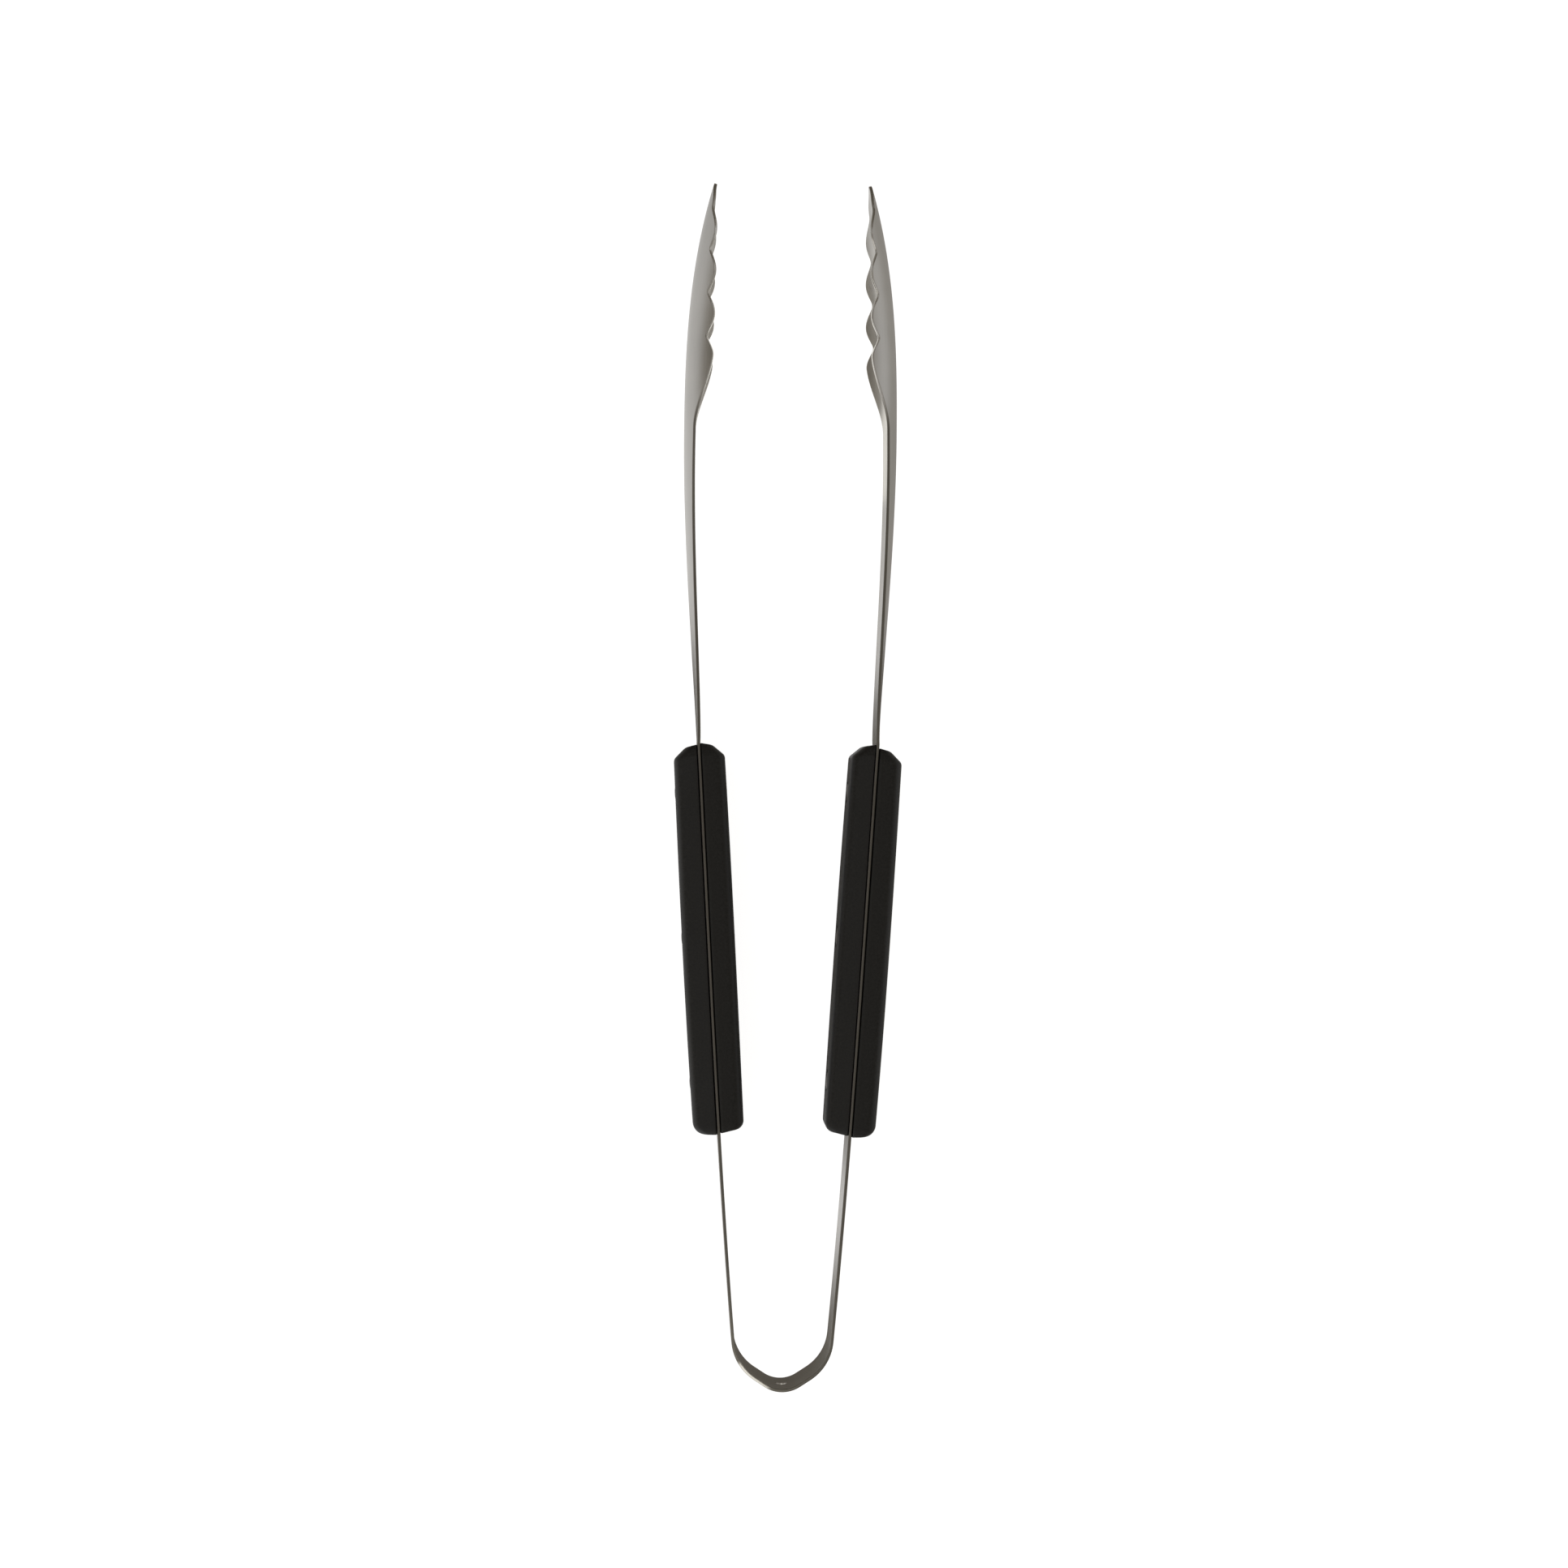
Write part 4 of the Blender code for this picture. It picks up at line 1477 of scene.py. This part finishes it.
@dataclass(frozen=True)
class SoftLamp:
    """A broad soft light far away, whose light falls off from its middle as a power of the cosine."""

    towards: Triple  # direction from the object to the lamp
    strength: float  # brightness at its middle
    power: float  # how narrow it is

    def glow(self, graph: NodeGraph, direction: Socket) -> Socket:
        """Adds the lamp's brightness in a direction to a world.

        Args:
            graph: The world's nodes.
            direction: Socket with the direction looked in.

        Returns:
            Socket with the brightness.
        """
        facing = {0: direction, 1: tuple(Vector(self.towards).normalized())}
        cosine = graph.add("VectorMath", facing, operation="DOT_PRODUCT").outputs["Value"]
        lobe = graph.math("POWER", graph.math("MAXIMUM", cosine, 0.0), self.power)
        return graph.math("MULTIPLY", lobe, self.strength)


@dataclass(frozen=True)
class Card:
    """A flat glowing or dark card that only reflections see."""

    name: str  # the card's name
    # A corner, the side to the second corner and the side to the fourth, in metres
    sides: tuple[Triple, Triple, Triple]
    colour: Colour  # light that it gives off
    # the Y at which the card starts to fade out and the Y at which it is gone, if it does
    fade: Pair | None = None

    def build(self) -> Piece:
        """Makes the card, with its light fading out along Y if it has a fade.

        Returns:
            The card.
        """
        material, graph = new_material(self.name)
        light = {"Color": (*self.colour, 1.0), "Strength": 1.0}
        glow = graph.add("Emission", light).outputs["Emission"]
        if self.fade is not None:
            places = graph.add("SeparateXYZ", {"Vector": graph.add("TexCoord").outputs["Object"]})
            limits = {"Value": places.outputs["Y"], "From Min": self.fade[0], "From Max": self.fade[1]}
            gone = graph.add("MapRange", limits, interpolation_type="SMOOTHSTEP").outputs["Result"]
            clear = graph.add("BsdfTransparent").outputs["BSDF"]
            glow = graph.add("MixShader", {0: gone, 1: glow, 2: clear}).outputs["Shader"]
        graph.add("OutputMaterial", {"Surface": glow})
        card = flat_piece(self.name, np.array(self.sides), material)
        card.visible_camera = False
        card.visible_diffuse = False
        card.visible_shadow = False
        return card


@dataclass(frozen=True)
class Studio:
    """Pale floor, soft light and camera."""

    ambient: float = 0.09  # brightness from every direction
    # the soft lamps
    lamps: tuple[SoftLamp, ...] = (
        SoftLamp((-0.15, -0.3, -0.95), 1.15, 4.0),
        SoftLamp((1.0, 0.1, 0.1), 0.5, 4.0),
        SoftLamp((-1.0, 0.15, -0.3), 0.52, 5.0),
        SoftLamp((-0.5, -0.85, 0.1), 1.3, 8.0),
        SoftLamp((-0.2, -0.3, 0.93), 0.45, 8.0),
    )
    # the cards that the steel reflects: glowing reflectors, and two dim sheets of painted shade below
    # the floor that darken what the steel reflects under the tongs round the bow
    cards: tuple[Card, ...] = (
        Card(
            "floor_shade_card",
            ((-0.4, -0.2, -0.5), (0.8, 0, 0), (0, 0.26, 0)),
            (0.05, 0.042, 0.03),
            (-0.15, -0.2),
        ),
        Card(
            "bow_shade_card",
            ((-0.013, -0.2, -0.02), (0.048, 0, 0), (0, 0.08, 0)),
            (0.11, 0.1, 0.085),
            (-0.175, -0.122),
        ),
        Card("grey_card", ((0.035, 0.08, -0.5), (1.5, 0, 0), (0, 0.5, 0)), (0.36, 0.35, 0.33)),
        Card(
            "jaw_card",
            ((-0.018, 0.09, -0.004), (0.036, 0, 0), (0, 0.085, 0)),
            (1.3, 1.29, 1.25),
            (0.145, 0.175),
        ),
        Card("tip_card", ((-0.05, 0.178, 0.1), (0.1, 0, 0), (0, 0.05, 0)), (0.62, 0.62, 0.61)),
        Card("glint_card", ((-0.03, -0.203, 0.06), (0.028, 0, 0), (0, 0.028, 0)), (1.2, 1.18, 1.1)),
        Card("left_card", ((-0.6, -0.5, -0.06), (0, 0, 0.3), (0, 0.52, 0)), (0.85, 0.83, 0.8)),
    )
    dim_colour: Colour = (1.0, 0.88, 0.7)  # colour of the dimmest parts of the world
    dim_range: Pair = (0.08, 0.5)  # brightness where that colour ends and where the light is white
    backdrop: float = 1.0  # brightness of the backdrop
    floor_colour: Colour = (0.85, 0.85, 0.85)  # colour of the floor
    floor_roughness: float = 0.9  # roughness of the floor
    floor_glow: float = 0.9  # light that the floor gives off by itself
    floor_size: float = 3.0  # half the floor's width in metres
    yaw: float = 2.3  # how far the camera stands to the left, in degrees
    roll: float = 0.577  # turn of the camera about its own axis, in degrees
    distance: float = 0.88  # distance from the camera to the point it looks at, in metres
    aim_x: float = -0.00125  # X of that point
    aim_station: float = 183.75  # its station in millimetres
    aim_rise: float = 9.0  # its height over the middle plane in millimetres
    lens: float = 66.93  # focal length in millimetres
    sensor: float = 36.0  # width of the sensor in millimetres

    def add_world(self) -> None:
        """Fills the world with the soft lamps; the camera sees an even pale backdrop instead."""
        world = bpy.data.worlds.new("soft_studio")
        world.use_nodes = True
        bpy.context.scene.world = world
        graph = NodeGraph(world.node_tree)
        direction = graph.add("TexCoord").outputs["Generated"]
        light = self.ambient
        for lamp in self.lamps:
            light = graph.math("ADD", lamp.glow(graph, direction), light)
        looking = graph.add("LightPath").outputs["Is Camera Ray"]
        strengths = {"Factor": looking, "A": light, "B": self.backdrop}
        shown = graph.add("Mix", strengths, data_type="FLOAT").outputs["Result"]
        limits = {"Value": shown, "From Min": self.dim_range[0], "From Max": self.dim_range[1]}
        white = graph.add("MapRange", limits).outputs["Result"]
        colour = graph.blended(self.dim_colour, (1.0, 1.0, 1.0), white)
        background = graph.add("Background", {"Color": colour, "Strength": shown})
        graph.add("OutputWorld", {"Surface": background.outputs["Background"]})

    def add_floor(self) -> None:
        """A wide pale floor under the tongs, which glows a little so that shadows stay faint."""
        size = self.floor_size
        sides = np.array([(-size, -size, 0.0), (2.0 * size, 0.0, 0.0), (0.0, 2.0 * size, 0.0)])
        material, graph = new_material("pale_floor")
        inputs = {
            "Base Color": (*self.floor_colour, 1.0),
            "Roughness": self.floor_roughness,
            "Specular IOR Level": 0.0,
            "Emission Color": (1.0, 1.0, 1.0, 1.0),
            "Emission Strength": self.floor_glow,
        }
        graph.finish(inputs)
        floor = flat_piece("studio_floor", sides, material)
        floor.visible_glossy = False

    def add_camera(self, stand: Stand) -> None:
        """The camera over the tongs, a little to the left, with its up direction turned by the roll.

        Args:
            stand: Where the strip lies in the frame.
        """
        yaw, roll = math.radians(self.yaw), math.radians(self.roll)
        back = Vector((-math.sin(yaw), 0.0, math.cos(yaw)))
        level_right = Vector((math.cos(yaw), 0.0, math.sin(yaw)))
        level_up = Vector((0.0, 1.0, 0.0))
        right = level_right * math.cos(roll) + level_up * math.sin(roll)
        up = level_up * math.cos(roll) - level_right * math.sin(roll)
        _, y, z = stand.spot(0.0, self.aim_station)
        aim = Vector((self.aim_x, y, z + self.aim_rise * MM))
        data = bpy.data.cameras.new("studio_camera")
        data.lens = self.lens
        data.sensor_width = self.sensor
        camera = show("studio_camera", data)
        turn = Matrix((right, up, back)).transposed().to_4x4()
        camera.matrix_world = Matrix.Translation(aim + back * self.distance) @ turn
        bpy.context.scene.camera = camera

    def build(self, stand: Stand) -> None:
        """Makes the world, the floor, the cards and the camera, and sets how colours are shown.

        Args:
            stand: Where the strip lies in the frame.
        """
        self.add_world()
        self.add_floor()
        for card in self.cards:
            card.build()
        self.add_camera(stand)
        view = bpy.context.scene.view_settings
        view.view_transform = "Standard"
        view.look = "None"


def main() -> None:
    """Builds every piece in order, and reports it."""
    logging.basicConfig(level=logging.INFO, format="%(name)s %(message)s")
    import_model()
    stand = Stand.from_frame()
    strip, edge = Strip(), CutEdge()
    steel = SatinSteel().build()
    plastic = SatinPlastic().build()
    rivet_steel = RivetSteel().build()
    made = [Bow(strip, stand, edge).build(steel)]
    for side, ahead, setback in ((Side.LEFT, 0.5, 0.4), (Side.RIGHT, 1.1, 1.0)):
        arm = ArmAssembly(side, strip, stand, edge, ScaleForm(), RivetForm(), ahead, setback)
        made += arm.build(steel, plastic, rivet_steel)
    for item in made:
        LOG.info("%s: %d faces", item.name, len(item.data.polygons))
    Studio().build(stand)


if __name__ == "__main__":
    main()
